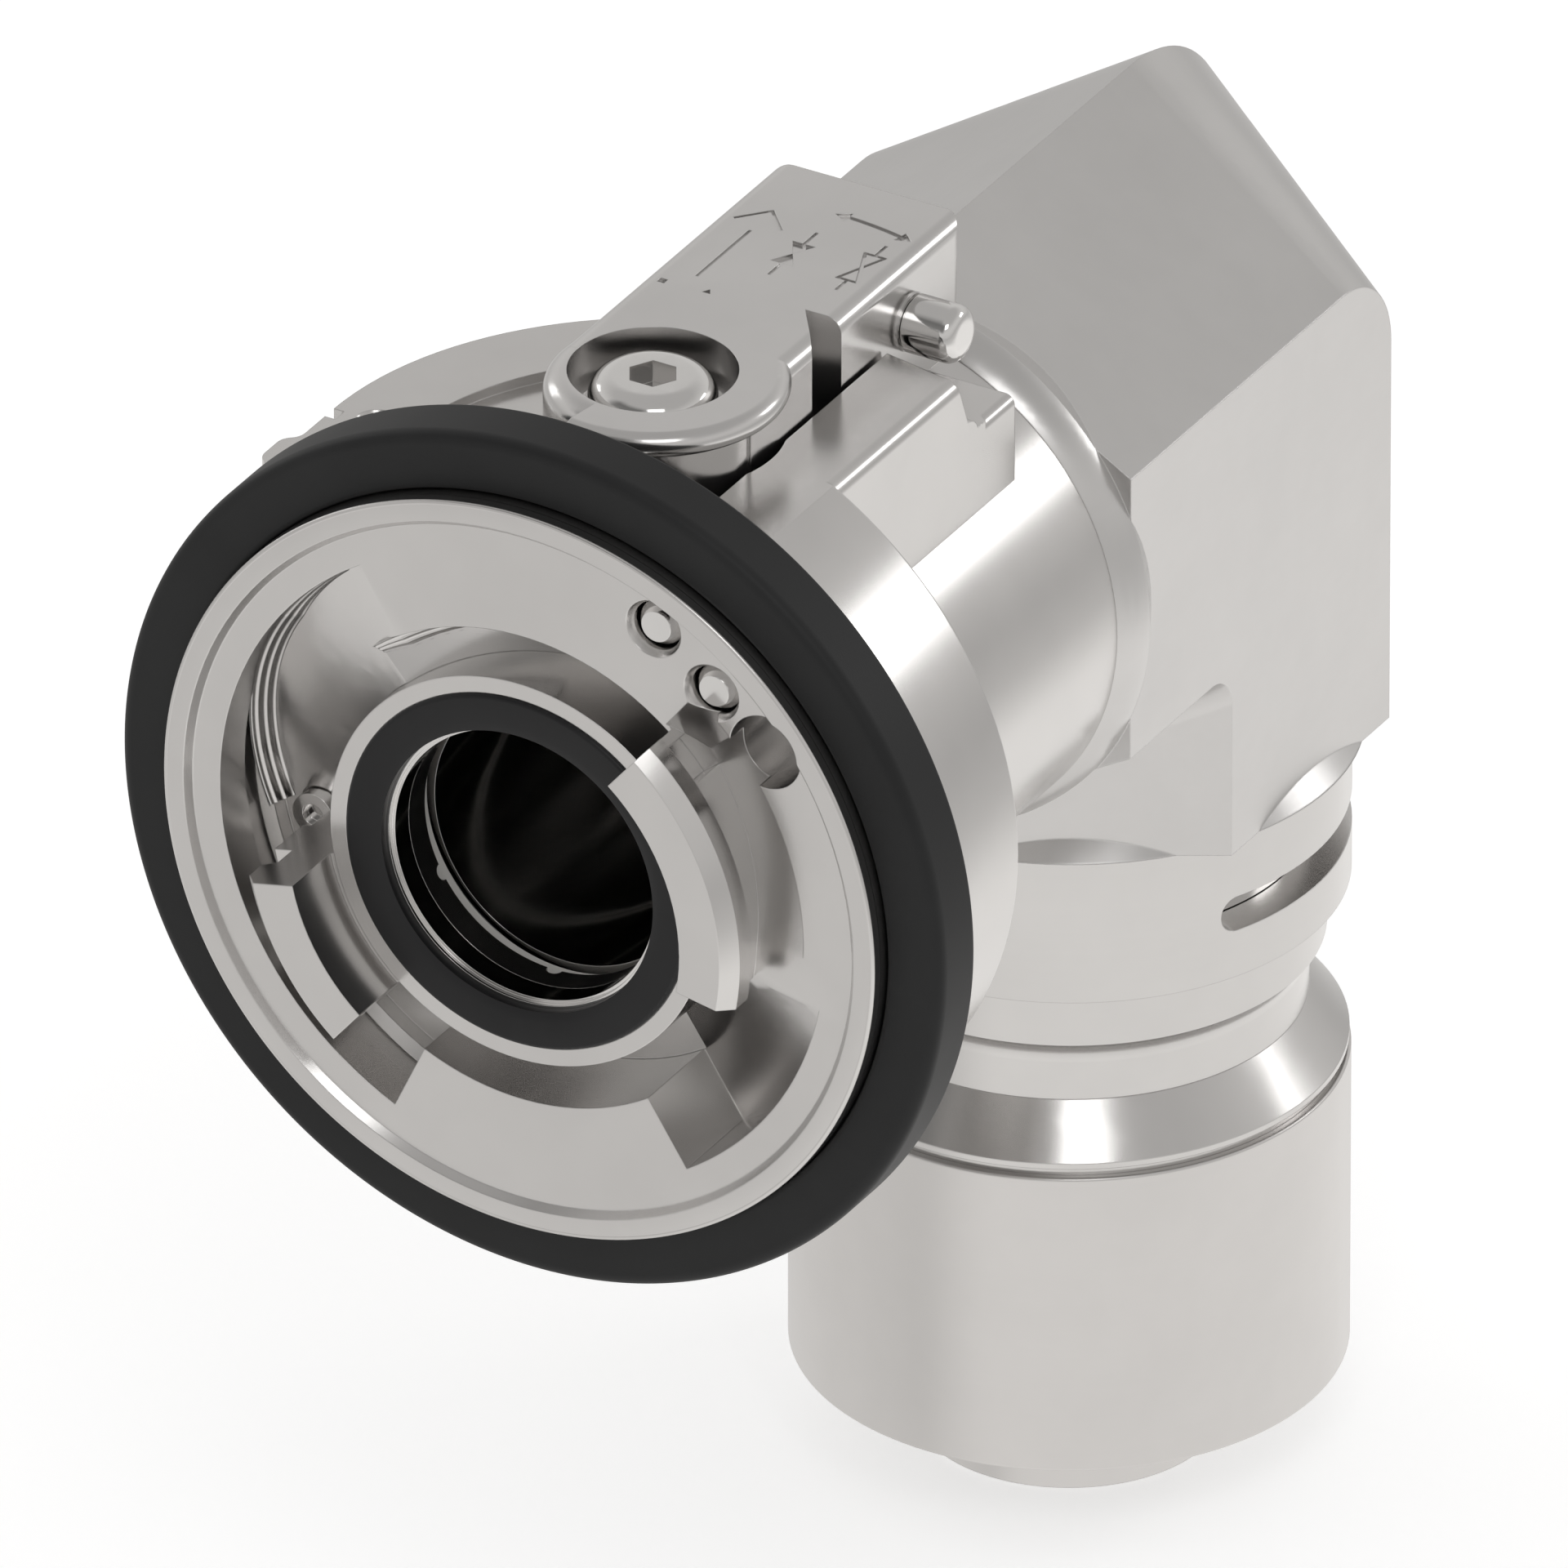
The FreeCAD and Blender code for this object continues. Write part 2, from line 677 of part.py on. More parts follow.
block_reach = "block_foot_left + block_valley - flange_back + 1"
pushed(body, "stop_block", "Pad", [
    ("block_side", "deck_low"),
    ("deck_side", "deck_low"),
    ("deck_side", "block_top - block_round", "-block_round"),
    ("deck_side - block_round", "block_top"),
    ("block_side", "block_top")], "flange_back - 1", block_reach, "XZ_Plane")
step = body.newObject("PartDesign::SubtractiveLoft", "block_step")
step.Profile = stepOutline("step_left", "block_side - 1", "block_back_left", "block_foot_left")
step.Sections = [stepOutline("step_right", "deck_side + 1", "block_back_right", "block_foot_right")]
step.Ruled = True
pushed(body, "lug", "Pad", [
    ("0", "deck_low"),
    ("deck_side * 2 / 3", "deck_low"),
    ("deck_side", "deck_low - 5"),
    ("deck_side", "deck_top - lug_round", "-lug_round"),
    ("deck_side - lug_round", "deck_top"),
    ("0", "deck_top")], "flange_back - 1", "block_end - flange_back + 1", "XZ_Plane")
revolve(body, "shell", "Revolution", "XY_Plane", [
    (spigot, "bumper_wide"),
    (flange, "bumper_wide"),
    (flange, "flange_back"),
    ("tube_r", "flange_back"),
    ("tube_r", "tube_back"),
    ("thread_r", "tube_back"),
    ("thread_r", "2 * pivot_y - seat_shelf"),
    ("seat_out", "2 * pivot_y - seat_shelf"),
    ("seat_out", "2 * pivot_y - nose_back"),
    ("ball_r + ball_gap", "2 * pivot_y - nose_back"),
    ("ball_r + ball_gap", "ring_back"),
    (spigot, "ring_back")])
rounded(body, "flange_edge", "flange_round", ringEdge(flange, "flange_back"))
pushed(body, "deck", "Pad", [
    ("deck_side", "pivot_y"),
    ("deck_side", "pivot_y + sqrt(deck_r * deck_r - deck_side * deck_side)", "-deck_r"),
    ("-deck_r", "pivot_y")], "deck_low", "deck_top - deck_low")
tab_side = "deck_r + tab_proud"
tab_lean = "tab_proud / 2"
tab_swing = "sqrt(tab_curve * tab_curve - (tab_curve - %s) * (tab_curve - %s))" % (tab_lean, tab_lean)
pushed(body, "tab", "Pad", [
    ("0", "ring_back"),
    ("tab_round - (%s)" % tab_side, "ring_back", "tab_round"),
    ("-(%s)" % tab_side, "ring_back + tab_round"),
    ("-(%s)" % tab_side, "tab_bulge", "tab_curve"),
    ("%s - (%s)" % (tab_lean, tab_side), "tab_bulge + " + tab_swing, "-tab_curve"),
    ("-deck_r", "tab_bulge + 2 * " + tab_swing),
    ("-deck_r", "notch_front"),
    ("notch_side - deck_r", "notch_front"),
    ("notch_side - deck_r", "pivot_y + 1"),
    ("0", "pivot_y + 1")], "deck_low", "deck_top - deck_low")
boxed(body, "lever_way", "Subtractive",
      ("-60", "ring_back", "deck_top"), ("block_side", "flange_back + 1", "60"))
boxed(body, "block_way", "Subtractive",
      ("block_side", "ring_back", "block_top"), ("60", "flange_back", "60"))
pushed(body, "recess", "Pocket", [
    ("block_side", "pivot_y + sqrt(recess_r * recess_r - block_side * block_side)", "-recess_r"),
    ("-sqrt(recess_r * recess_r - (pivot_y - ring_back) * (pivot_y - ring_back))", "ring_back"),
    ("block_side", "ring_back")], "recess_floor", "5")
rod(body, "boss_way", "Subtractive", "boss_foot_r + boss_gap", "20", "0", "pivot_y + boss_shift", "recess_floor")
rod(body, "stem_bore", "Subtractive", "stem_r + stem_gap", "20", "0", "pivot_y", "20")
rod(body, "shoulder_bore", "Subtractive", "shoulder_r + ball_gap", "shoulder_thick + stem_seal_thick + 5.2",
    "0", "pivot_y", "shoulder_low - 5")
for turn in ("90", "180"):
    taper(body, "detent_" + turn, "Subtractive", "detent_low_r", "detent_r", "detent_deep",
          "detent_reach * cos(%s)" % turn, "pivot_y + detent_reach * sin(%s)" % turn, "deck_top - detent_deep")
for which in ("upper", "lower"):
    x, z = faceSpot("%s_pin_inset" % which, "%s_pin_angle" % which)
    rod(body, which + "_spring_room", "Subtractive", "pin_cavity_r", "pin_cavity_end - ring_back",
        x, "ring_back", z, *along_y)
for which in ("first", "second"):
    x, z = faceSpot("pocket_margin + lock_screw_inset", "%s_screw_angle" % which)
    rod(body, which + "_tapping", "Subtractive", "lock_screw_r", "lock_screw_end + 1 - ring_back",
        x, "ring_back", z, *along_y)

# Tail tube: screwed in behind the rear seat, its end holds the elbow
turnedY("tail_tube", [
    ("bore_r", "2 * pivot_y - seat_shelf"),
    ("thread_r", "2 * pivot_y - seat_shelf"),
    ("thread_r", "thread_back"),
    ("bore_r", "thread_back")])

# Ball, seats and stem
contact_r = "(seat_in + seat_out) / 2"
lift = "sqrt(ball_r * ball_r - (%s) * (%s))" % (contact_r, contact_r)
reach = "(%s) + ball_gap" % lift
slope = "(%s) / (%s) * (seat_out - seat_in) / 2" % (contact_r, lift)
turnedY("seat_front", [
    ("seat_in", "seat_shelf"),
    ("seat_out", "seat_shelf"),
    ("seat_out", "pivot_y - (%s) + (%s) - 0.3" % (reach, slope)),
    ("seat_in", "pivot_y - (%s) - (%s) - 0.3" % (reach, slope))])
turnedY("seat_rear", [
    ("seat_in", "2 * pivot_y - seat_shelf"),
    ("seat_out", "2 * pivot_y - seat_shelf"),
    ("seat_out", "pivot_y + (%s) - (%s) + 0.3" % (reach, slope)),
    ("seat_in", "pivot_y + (%s) + (%s) + 0.3" % (reach, slope))])
ball_end = "sqrt(ball_r * ball_r - bore_r * bore_r)"
ball = turnedY("valve_ball", [("bore_r", "-(%s)" % ball_end, "-ball_r"), ("bore_r", ball_end)])
boxed(ball, "ball_top", "Subtractive", ("-20", "-20", "ball_flat"), ("20", "20", "30"))
boxed(ball, "ball_slot", "Subtractive",
      ("-slot_half", "-slot_long", "slot_floor"), ("slot_half", "slot_long", "30"))
place(ball, "0", "pivot_y", "0")
stem = turnedZ("valve_stem", [
    ("0", "shoulder_low"),
    ("shoulder_r", "shoulder_low"),
    ("shoulder_r", "shoulder_low + shoulder_thick"),
    ("stem_r", "shoulder_low + shoulder_thick"),
    ("stem_r", "square_low"),
    ("0", "square_low")], "pivot_y")
boxed(stem, "stem_tang", "Additive", ("0.1 - slot_half", "0.3 - slot_long", "slot_floor + 0.2"),
      ("slot_half - 0.1", "slot_long - 0.3", "shoulder_low"))
boxed(stem, "stem_square", "Additive", ("-square_half", "-square_half", "square_low"),
      ("square_half", "square_half", "square_top"))
rod(stem, "stem_thread", "Subtractive", "screw_r", "20", "0", "0", "screw_end - 0.5")
turnedZ("stem_seal", [
    ("stem_r", "shoulder_low + shoulder_thick"),
    ("shoulder_r", "shoulder_low + shoulder_thick"),
    ("shoulder_r", "shoulder_low + shoulder_thick + stem_seal_thick"),
    ("stem_r", "shoulder_low + shoulder_thick + stem_seal_thick")], "pivot_y")

# Lever with its counterbored boss, and what it carries
lever = newBody("valve_lever")
lever.setExpression("Placement.Base.y", bound("pivot_y"))
arm_end = "lever_end - pivot_y"
pushed(lever, "arm", "Pad", [
    ("-lever_left", "lever_low"),
    ("lever_right", "lever_low"),
    ("lever_right", "lever_top - lever_edge", "-lever_edge"),
    ("lever_right - lever_edge", "lever_top"),
    ("lever_edge - lever_left", "lever_top", "-lever_edge"),
    ("-lever_left", "lever_top - lever_edge")], "0", arm_end, "XZ_Plane")
for side, edge_x, sign in (("right", "lever_right", ""), ("left", "-lever_left", "-")):
    near = "%s - %slever_corner" % (edge_x, sign)
    past = "%s + %s1" % (edge_x, sign)
    pushed(lever, side + "_corner", "Pocket", [
        (near, arm_end, sign + "lever_corner"),
        (edge_x, arm_end + " - lever_corner"),
        (past, arm_end + " - lever_corner"),
        (past, arm_end + " + 1"),
        (near, arm_end + " + 1")], "lever_low - 1", "lever_top - lever_low + 2")
boss_back = "lever_top - 2 * boss_lip"
revolve(lever, "boss", "Revolution", "XZ_Plane", [
    ("0", "boss_low"),
    ("boss_waist", "boss_low"),
    ("boss_waist", boss_back),
    ("boss_flat", boss_back, "-boss_lip"),
    ("boss_flat + boss_lip", "lever_top - boss_lip", "-boss_lip"),
    ("boss_flat", "lever_top"),
    ("0", "lever_top")], sweep=360 - num("cheek_sweep"), turn=num("cheek_at + cheek_sweep"))
revolve(lever, "cheek", "Revolution", "XZ_Plane", [
    ("0", "boss_low"),
    ("boss_waist", "boss_low"),
    ("boss_waist", "lever_top - cheek_edge", "-cheek_edge"),
    ("boss_waist - cheek_edge", "lever_top"),
    ("0", "lever_top")], sweep=num("cheek_sweep"), turn=num("cheek_at"))
foot = rod(lever, "boss_foot", "Additive", "boss_foot_r", "lever_low + 4 - boss_low",
           "0", "boss_shift", "boss_low", (0, 0, 1), -90)
foot.Angle = 180
knob_at = "detent_reach"
rod(lever, "counterbore", "Subtractive", "counter_r", "lever_top - counter_floor", "0", "0", "counter_floor")
rod(lever, "screw_hole", "Subtractive", "screw_r + screw_hole_gap", "20", "0", "0", "boss_low + 3")
square = "square_half + square_gap"
boxed(lever, "square_hole", "Subtractive", ("-(%s)" % square, "-(%s)" % square, "square_low - 0.1"),
      (square, square, "square_top + 0.2"))
rod(lever, "stem_hole", "Subtractive", "stem_r + stem_gap", "square_low - boss_low + 1", "0", "0", "boss_low - 1")
pushed(lever, "scoop", "Pocket", [
    ("lever_right - scoop_deep", "scoop_back - pivot_y"),
    ("lever_right - scoop_deep + scoop_round", "scoop_back - pivot_y - scoop_round * 1.4"),
    ("lever_right + 1", "scoop_front - pivot_y - 1.4"),
    ("lever_right + 1", "scoop_back - pivot_y")], "lever_low - 1", "lever_top - lever_low + 2")
rod(lever, "knob_sleeve", "Additive", "knob_r", "3 + knob_sleeve",
    "lever_right - 3", knob_at, "knob_z", *along_x)
rod(lever, "knob_bore", "Subtractive", "knob_stem_r + knob_stem_gap", "lever_right + 1 - spring_room_near",
    "spring_room_near", knob_at, "knob_z", *along_x)
rod(lever, "spring_room", "Subtractive", "spring_room_r", "spring_room_far - spring_room_near",
    "spring_room_near", knob_at, "knob_z", *along_x)
rod(lever, "lock_pin_bore", "Subtractive", "lock_pin_r + lock_pin_gap", "lock_pin_roof - lever_low + 1",
    "0", knob_at, "lever_low - 1")

turnedZ("lever_washer", [
    ("screw_r + screw_hole_gap", "counter_floor"),
    ("washer_r", "counter_floor"),
    ("washer_r", "counter_floor + washer_thick"),
    ("screw_r + screw_hole_gap", "counter_floor + washer_thick")], "pivot_y")
head_low = "counter_floor + washer_thick"
screw = turnedZ("lever_screw", [
    ("0", "screw_end"),
    ("screw_r", "screw_end"),
    ("screw_r", head_low),
    ("head_r", head_low),
    ("head_r", head_low + " + head_high"),
    ("0", head_low + " + head_high")], "pivot_y")
rounded(screw, "head_dome", "head_round", ringEdge("head_r", head_low + " + head_high", "z"))
corner = "socket_flats / 2 / cos(30)"
pushed(screw, "socket", "Pocket", [
    ("(%s) * cos(%d)" % (corner, 60 * step), "(%s) * sin(%d)" % (corner, 60 * step)) for step in range(6)
], head_low + " + head_high - socket_deep", "socket_deep + 1")

knob = newBody("lock_knob")
revolve(knob, "knob_turned", "Revolution", "XY_Plane", [
    ("knob_foot", "0"),
    ("knob_foot", "knob_foot_r"),
    ("knob_foot + knob_foot_wide", "knob_foot_r"),
    ("knob_foot + knob_foot_wide", "knob_stem_r"),
    ("knob_near - knob_neck", "knob_stem_r"),
    ("knob_near - knob_neck", "knob_neck_r"),
    ("knob_near", "knob_neck_r"),
    ("knob_near", "knob_r"),
    ("knob_far", "knob_r"),
    ("knob_far", "0")], axis="H_Axis")
rounded(knob, "knob_end", "knob_round", ringEdge("knob_r", "knob_far", "x"))
place(knob, "0", "pivot_y + detent_reach", "knob_z")
knob_spring = coil("lock_spring", "knob_coils", "knob_coil_r", "knob_wire", "0",
                   "spring_room_far - knob_foot - knob_foot_wide")
place(knob_spring, "knob_foot + knob_foot_wide", "pivot_y + detent_reach", "knob_z", (0, 0, 1), -90)
lock_pin = turnedZ("lock_pin", [
    ("0", "lock_pin_tip"),
    ("lock_pin_tip_r", "lock_pin_tip"),
    ("lock_pin_r", "lock_pin_tip + lock_pin_cone"),
    ("lock_pin_r", "lock_pin_top"),
    ("0", "lock_pin_top")], "pivot_y + detent_reach")
cross = "knob_stem_r + cross_slack"
boxed(lock_pin, "cross_slot", "Subtractive", ("-5", "-(%s)" % cross, "knob_z - (%s)" % cross),
      ("5", cross, "knob_z + (%s) + lock_drop" % cross))

# Elbow: a hexagonal bar mitred and bent round, with conical bends
elbow = newBody("elbow_block")
elbow.setExpression("Placement.Base.y", bound("elbow_y"))
half_side = "across_flats / 2 * tan(30)"
half_mid = "across_flats / 2 / cos(30)"


def bendOutline(name, lift, half, outer, inner):
    """The elbow's outline in one upright plane: front leg, outer bend, foot, inner bend."""
    return outline(sketchOn(elbow, name, "YZ_Plane", lift=lift), [
        ("-elbow_front", "-(%s)" % half),
        ("-elbow_front", half),
        ("(%s) - (%s)" % (half, outer), half, outer),
        (half, "(%s) - (%s)" % (half, outer)),
        (half, "-elbow_foot"),
        ("-(%s)" % half, "-elbow_foot"),
        ("-(%s)" % half, "-(%s) - (%s)" % (half, inner), "-(%s)" % inner),
        ("-(%s) - (%s)" % (half, inner), "-(%s)" % half)])


left_flat = bendOutline("left_flat", "-across_flats / 2", half_side, "outer_bend_side", "inner_bend_side")
ridge = bendOutline("ridge", "0", half_mid, "outer_bend_mid", "inner_bend_mid")
right_flat = bendOutline("right_flat", "across_flats / 2", half_side, "outer_bend_side", "inner_bend_side")
bend = elbow.newObject("PartDesign::AdditiveLoft", "bend")
bend.Profile = left_flat
bend.Sections = [ridge, right_flat]
bend.Ruled = True
front = "tube_back - elbow_y"
revolve(elbow, "front_collar", "Revolution", "XY_Plane", [
    ("bore_r", front),
    ("tube_r", front, "-front_fillet"),
    ("front_collar_r", "-elbow_front"),
    ("across_flats / 2", "front_collar_long - elbow_front"),
    ("bore_r", "front_collar_long - elbow_front")])
revolve(elbow, "foot_collar", "Revolution", "XZ_Plane", [
    ("bore_r", "-elbow_foot + 6"),
    ("across_flats / 2", "foot_collar_long - elbow_foot"),
    ("foot_collar_r", "-elbow_foot"),
    ("bore_r", "-elbow_foot")])
revolve(elbow, "tube_socket", "Groove", "XY_Plane", [
    ("0", front + " - 1"),
    ("thread_r", front + " - 1"),
    ("thread_r", "thread_back + gasket_thick - elbow_y"),
    ("bore_r", "thread_back + gasket_thick - elbow_y"),
    ("bore_r", "0"),
    ("0", "0")])
revolve(elbow, "foot_bore", "Groove", "XZ_Plane", [
    ("0", "0"),
    ("bore_r", "0"),
    ("bore_r", "-elbow_foot - 1"),
    ("0", "-elbow_foot - 1")])
turn_room = elbow.newObject("PartDesign::SubtractiveSphere", "turn_room")
turn_room.setExpression("Radius", bound("bore_r"))

# Round leg under the elbow, the socket of the swivel
window_low = "-window_top - window_high"
leg = turnedZ("swivel_leg", [
    ("socket_r", "-elbow_foot"),
    ("leg_r", "-elbow_foot"),
    ("leg_r", "-leg_end"),
    ("socket_r", "-leg_end"),
    ("socket_r", window_low),
    ("ring_room_r", window_low),
    ("ring_room_r", "-window_top"),
    ("socket_r", "-window_top")], "elbow_y")
revolve(leg, "window", "Groove", "XZ_Plane", [
    ("socket_r + 1", "-window_top"),
    ("leg_r + 2", "-window_top"),
    ("leg_r + 2", window_low),
    ("socket_r + 1", window_low)], sweep=num("window_sweep"), turn=num("window_at"))
for which, angle in (("start", "window_at"), ("stop", "window_at + window_sweep")):
    turned = FreeCAD.Rotation(FreeCAD.Vector(0, 0, 1), num(angle))
    turned = turned.multiply(FreeCAD.Rotation(FreeCAD.Vector(0, 1, 0), 90))
    end = leg.newObject("PartDesign::SubtractiveCylinder", "window_" + which)
    end.setExpression("Radius", bound("window_high / 2"))
    end.setExpression("Height", bound("leg_r + 2 - socket_r"))
    spot = vector("socket_r * cos(%s)" % angle, "socket_r * sin(%s)" % angle, "-window_top - window_high / 2")
    end.Placement = FreeCAD.Placement(spot, turned)

turnedY("elbow_gasket", [
    ("bore_r", "thread_back"),
    ("thread_r", "thread_back"),
    ("thread_r", "thread_back + gasket_thick"),
    ("bore_r", "thread_back + gasket_thick")])

# Swivel: the nipple turns in the leg, held by the split ring
nipple_r = "socket_r - swivel_gap"
nipple = turnedZ("swivel_nipple", [
    ("bore_r", "-nipple_top"),
    (nipple_r, "-nipple_top"),
    (nipple_r, "-lip_seal_top"),
    ("seal_groove_r", "-lip_seal_top"),
    ("seal_groove_r", "-lip_seal_top - lip_seal_high"),
    (nipple_r, "-lip_seal_top - lip_seal_high"),
    (nipple_r, "-window_top"),
    ("nipple_groove_r", "-window_top"),
    ("nipple_groove_r", window_low),
    (nipple_r, window_low),
    (nipple_r, "-wiper_top"),
    ("seal_groove_r", "-wiper_top"),
    ("seal_groove_r", "-wiper_top - wiper_high"),
    (nipple_r, "-wiper_top - wiper_high"),
    (nipple_r, "-neck_collar_top"),
    ("neck_collar_r", "-neck_collar_top"),
    ("neck_collar_r", "-neck_collar_end"),
    ("neck_r", "-neck_collar_end"),
    ("neck_r", "-neck_end"),
    ("joint_r", "-neck_end"),
    ("joint_r", "-joint_end"),
    ("bore_r", "-joint_end")], "elbow_y")
rounded(nipple, "neck_root", "neck_fillet", ringEdge("neck_r", "-neck_collar_end", "z"))
turnedZ("swivel_seal", [
    ("seal_groove_r", "-lip_seal_top - 0.2"),
    (nipple_r, "-lip_seal_top - 0.2"),
    (nipple_r, "-lip_seal_top - lip_seal_high + 0.2"),
    ("seal_groove_r", "-lip_seal_top - lip_seal_high + 0.2")], "elbow_y")
turnedZ("wiper_ring", [
    ("seal_groove_r", "-wiper_top - 0.2"),
    (nipple_r, "-wiper_top - 0.2"),
    (nipple_r, "-wiper_top - wiper_high + 0.2"),
    ("seal_groove_r", "-wiper_top - wiper_high + 0.2")], "elbow_y")
split = newBody("retaining_ring")
revolve(split, "ring_turned", "Revolution", "XZ_Plane", [
    ("split_ring_in", "-window_top - split_ring_gap"),
    ("ring_room_r", "-window_top - split_ring_gap"),
    ("ring_room_r", window_low + " + split_ring_gap"),
    ("split_ring_in", window_low + " + split_ring_gap")],
    sweep=360 - num("split_opening"), turn=150)
split.setExpression("Placement.Base.y", bound("elbow_y"))

turnedZ("barrel_collar", [
    ("joint_r", "-neck_end"),
    ("neck_r", "-neck_end"),
    ("barrel_r - cone_inset", "-cone_end"),
    ("barrel_r - cone_inset", "-cone_lip"),
    ("barrel_r - joint_groove", "-cone_lip"),
    ("barrel_r - joint_groove", "-barrel_top"),
    ("joint_r", "-barrel_top")], "elbow_y")
barrel = turnedZ("lower_barrel", [
    ("joint_r", "-barrel_top"),
    ("barrel_r", "-barrel_top"),
    ("barrel_r", "-barrel_end"),
    ("pipe_seat_r", "-barrel_end"),
    ("pipe_seat_r", "-joint_end - barrel_seal_high"),
    ("joint_r", "-joint_end - barrel_seal_high")], "elbow_y")
rounded(barrel, "barrel_top_edge", "barrel_edge", ringEdge("barrel_r", "-barrel_top", "z"))
rounded(barrel, "barrel_foot_edge", "barrel_edge", ringEdge("barrel_r", "-barrel_end", "z"))
turnedZ("barrel_seal", [
    ("bore_r", "-joint_end"),
    ("joint_r", "-joint_end"),
    ("joint_r", "-joint_end - barrel_seal_high"),
    ("bore_r", "-joint_end - barrel_seal_high")], "elbow_y")
turnedZ("pipe_end", [
    ("pipe_r - pipe_wall", "-joint_end - barrel_seal_high"),
    ("pipe_seat_r", "-joint_end - barrel_seal_high"),
    ("pipe_seat_r", "-barrel_end"),
    ("pipe_r", "-barrel_end"),
    ("pipe_r", "-pipe_end_z"),
    ("pipe_r - pipe_wall", "-pipe_end_z")], "elbow_y")

doc.recompute()
os.makedirs("parts", exist_ok=True)
faults = [item.Name for item in doc.Objects if "Invalid" in item.State or "Error" in item.State]
if faults:
    raise RuntimeError("these did not build: " + ", ".join(faults))
for piece in pieces:
    shape = piece.Shape
    if shape.isNull() or not shape.isValid() or not shape.Solids:
        raise RuntimeError(piece.Label + " is not a sound solid")
    shape.exportStep(os.path.join("parts", piece.Label + ".step"))
    print("%-24s %9.1f mm3 %d solids" % (piece.Label, shape.Volume, len(shape.Solids)))
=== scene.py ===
import bmesh
import bpy
import math
from mathutils import Matrix, Vector


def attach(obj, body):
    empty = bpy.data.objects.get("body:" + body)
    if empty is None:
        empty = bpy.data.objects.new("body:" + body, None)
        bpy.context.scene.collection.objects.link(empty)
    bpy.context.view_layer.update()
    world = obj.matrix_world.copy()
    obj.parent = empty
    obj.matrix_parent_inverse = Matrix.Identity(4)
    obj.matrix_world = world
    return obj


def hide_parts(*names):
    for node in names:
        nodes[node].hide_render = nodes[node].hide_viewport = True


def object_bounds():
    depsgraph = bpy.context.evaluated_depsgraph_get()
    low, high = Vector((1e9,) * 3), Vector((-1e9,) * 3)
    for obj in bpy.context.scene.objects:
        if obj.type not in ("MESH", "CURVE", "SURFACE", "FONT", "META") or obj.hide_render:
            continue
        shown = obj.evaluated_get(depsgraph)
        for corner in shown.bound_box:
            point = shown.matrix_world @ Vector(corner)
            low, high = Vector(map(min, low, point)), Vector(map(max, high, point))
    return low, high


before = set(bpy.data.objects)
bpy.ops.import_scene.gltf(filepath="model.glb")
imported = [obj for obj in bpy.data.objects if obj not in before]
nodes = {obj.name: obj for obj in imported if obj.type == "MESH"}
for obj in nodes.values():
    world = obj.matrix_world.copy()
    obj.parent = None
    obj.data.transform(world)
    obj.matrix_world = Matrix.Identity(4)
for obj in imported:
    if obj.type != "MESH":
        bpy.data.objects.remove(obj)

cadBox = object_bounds()
print("frame loaded with", len(nodes), "nodes")

pivotY = 0.0265    # upright axis of the lever and ball
elbowY = 0.1168    # upright axis of the elbow and swivel
millimetre = 0.001

# The photograph shows no perspective, so the camera stands far off with a long lens.
photoCamera = {"turn": 30, "tilt": 30, "lens": 1500, "sensor": 36, "widthSeen": 0.16887,
               "right": 0.02727, "up": 0.00827, "sharpAt": -0.045}


def placeCamera(values):
    turn, tilt = math.radians(values["turn"]), math.radians(values["tilt"])
    back = Vector((math.sin(turn) * math.cos(tilt), -math.cos(turn) * math.cos(tilt), math.sin(tilt)))
    right = Vector((math.cos(turn), math.sin(turn), 0))
    up = back.cross(right)
    data = bpy.data.cameras.new("photoCamera")
    data.lens = values["lens"]
    data.sensor_width = values["sensor"]
    distance = values["widthSeen"] * values["lens"] / values["sensor"]
    data.clip_start, data.clip_end = distance / 10, distance * 3
    camera = bpy.data.objects.new("photoCamera", data)
    bpy.context.scene.collection.objects.link(camera)
    camera.location = right * values["right"] + up * values["up"] + back * (values["sharpAt"] + distance)
    camera.rotation_mode = "QUATERNION"
    camera.rotation_quaternion = (-back).to_track_quat("-Z", "Y")
    bpy.context.scene.camera = camera


placeCamera(photoCamera)
print("camera placed")


def meshObject(name, bm):
    mesh = bpy.data.meshes.new(name)
    bm.to_mesh(mesh)
    bm.free()
    made = bpy.data.objects.new(name, mesh)
    bpy.context.scene.collection.objects.link(made)
    return made


# Node helpers

def addNode(tree, kind, **inputs):
    node = tree.nodes.new("ShaderNode" + kind)
    for name, value in inputs.items():
        node.inputs[name.replace("_", " ")].default_value = value
    return node


def emptyMaterial(name):
    material = bpy.data.materials.new(name)
    material.use_nodes = True
    material.node_tree.nodes.clear()
    return material, material.node_tree


def mathNode(tree, operation, *values):
    node = tree.nodes.new("ShaderNodeMath")
    node.operation = operation
    for socket, value in zip(node.inputs, values):
        if isinstance(value, (int, float)):
            socket.default_value = value
        else:
            tree.links.new(value, socket)
    return node.outputs[0]


def rampNode(tree, source, stops):
    ramp = tree.nodes.new("ShaderNodeValToRGB")
    while len(ramp.color_ramp.elements) < len(stops):
        ramp.color_ramp.elements.new(0.5)
    for element, (place, colour) in zip(ramp.color_ramp.elements, stops):
        element.position = place
        element.color = (*colour, 1)
    tree.links.new(source, ramp.inputs["Fac"])
    return ramp.outputs["Color"]


def greyStops(stops, tint=(1, 1, 1)):
    return [(place, tuple(tone * channel for channel in tint)) for place, tone in stops]


def halfNode(tree, value):
    # moves a direction's part from -1..1 to 0..1
    return mathNode(tree, "MULTIPLY_ADD", value, 0.5, 0.5)


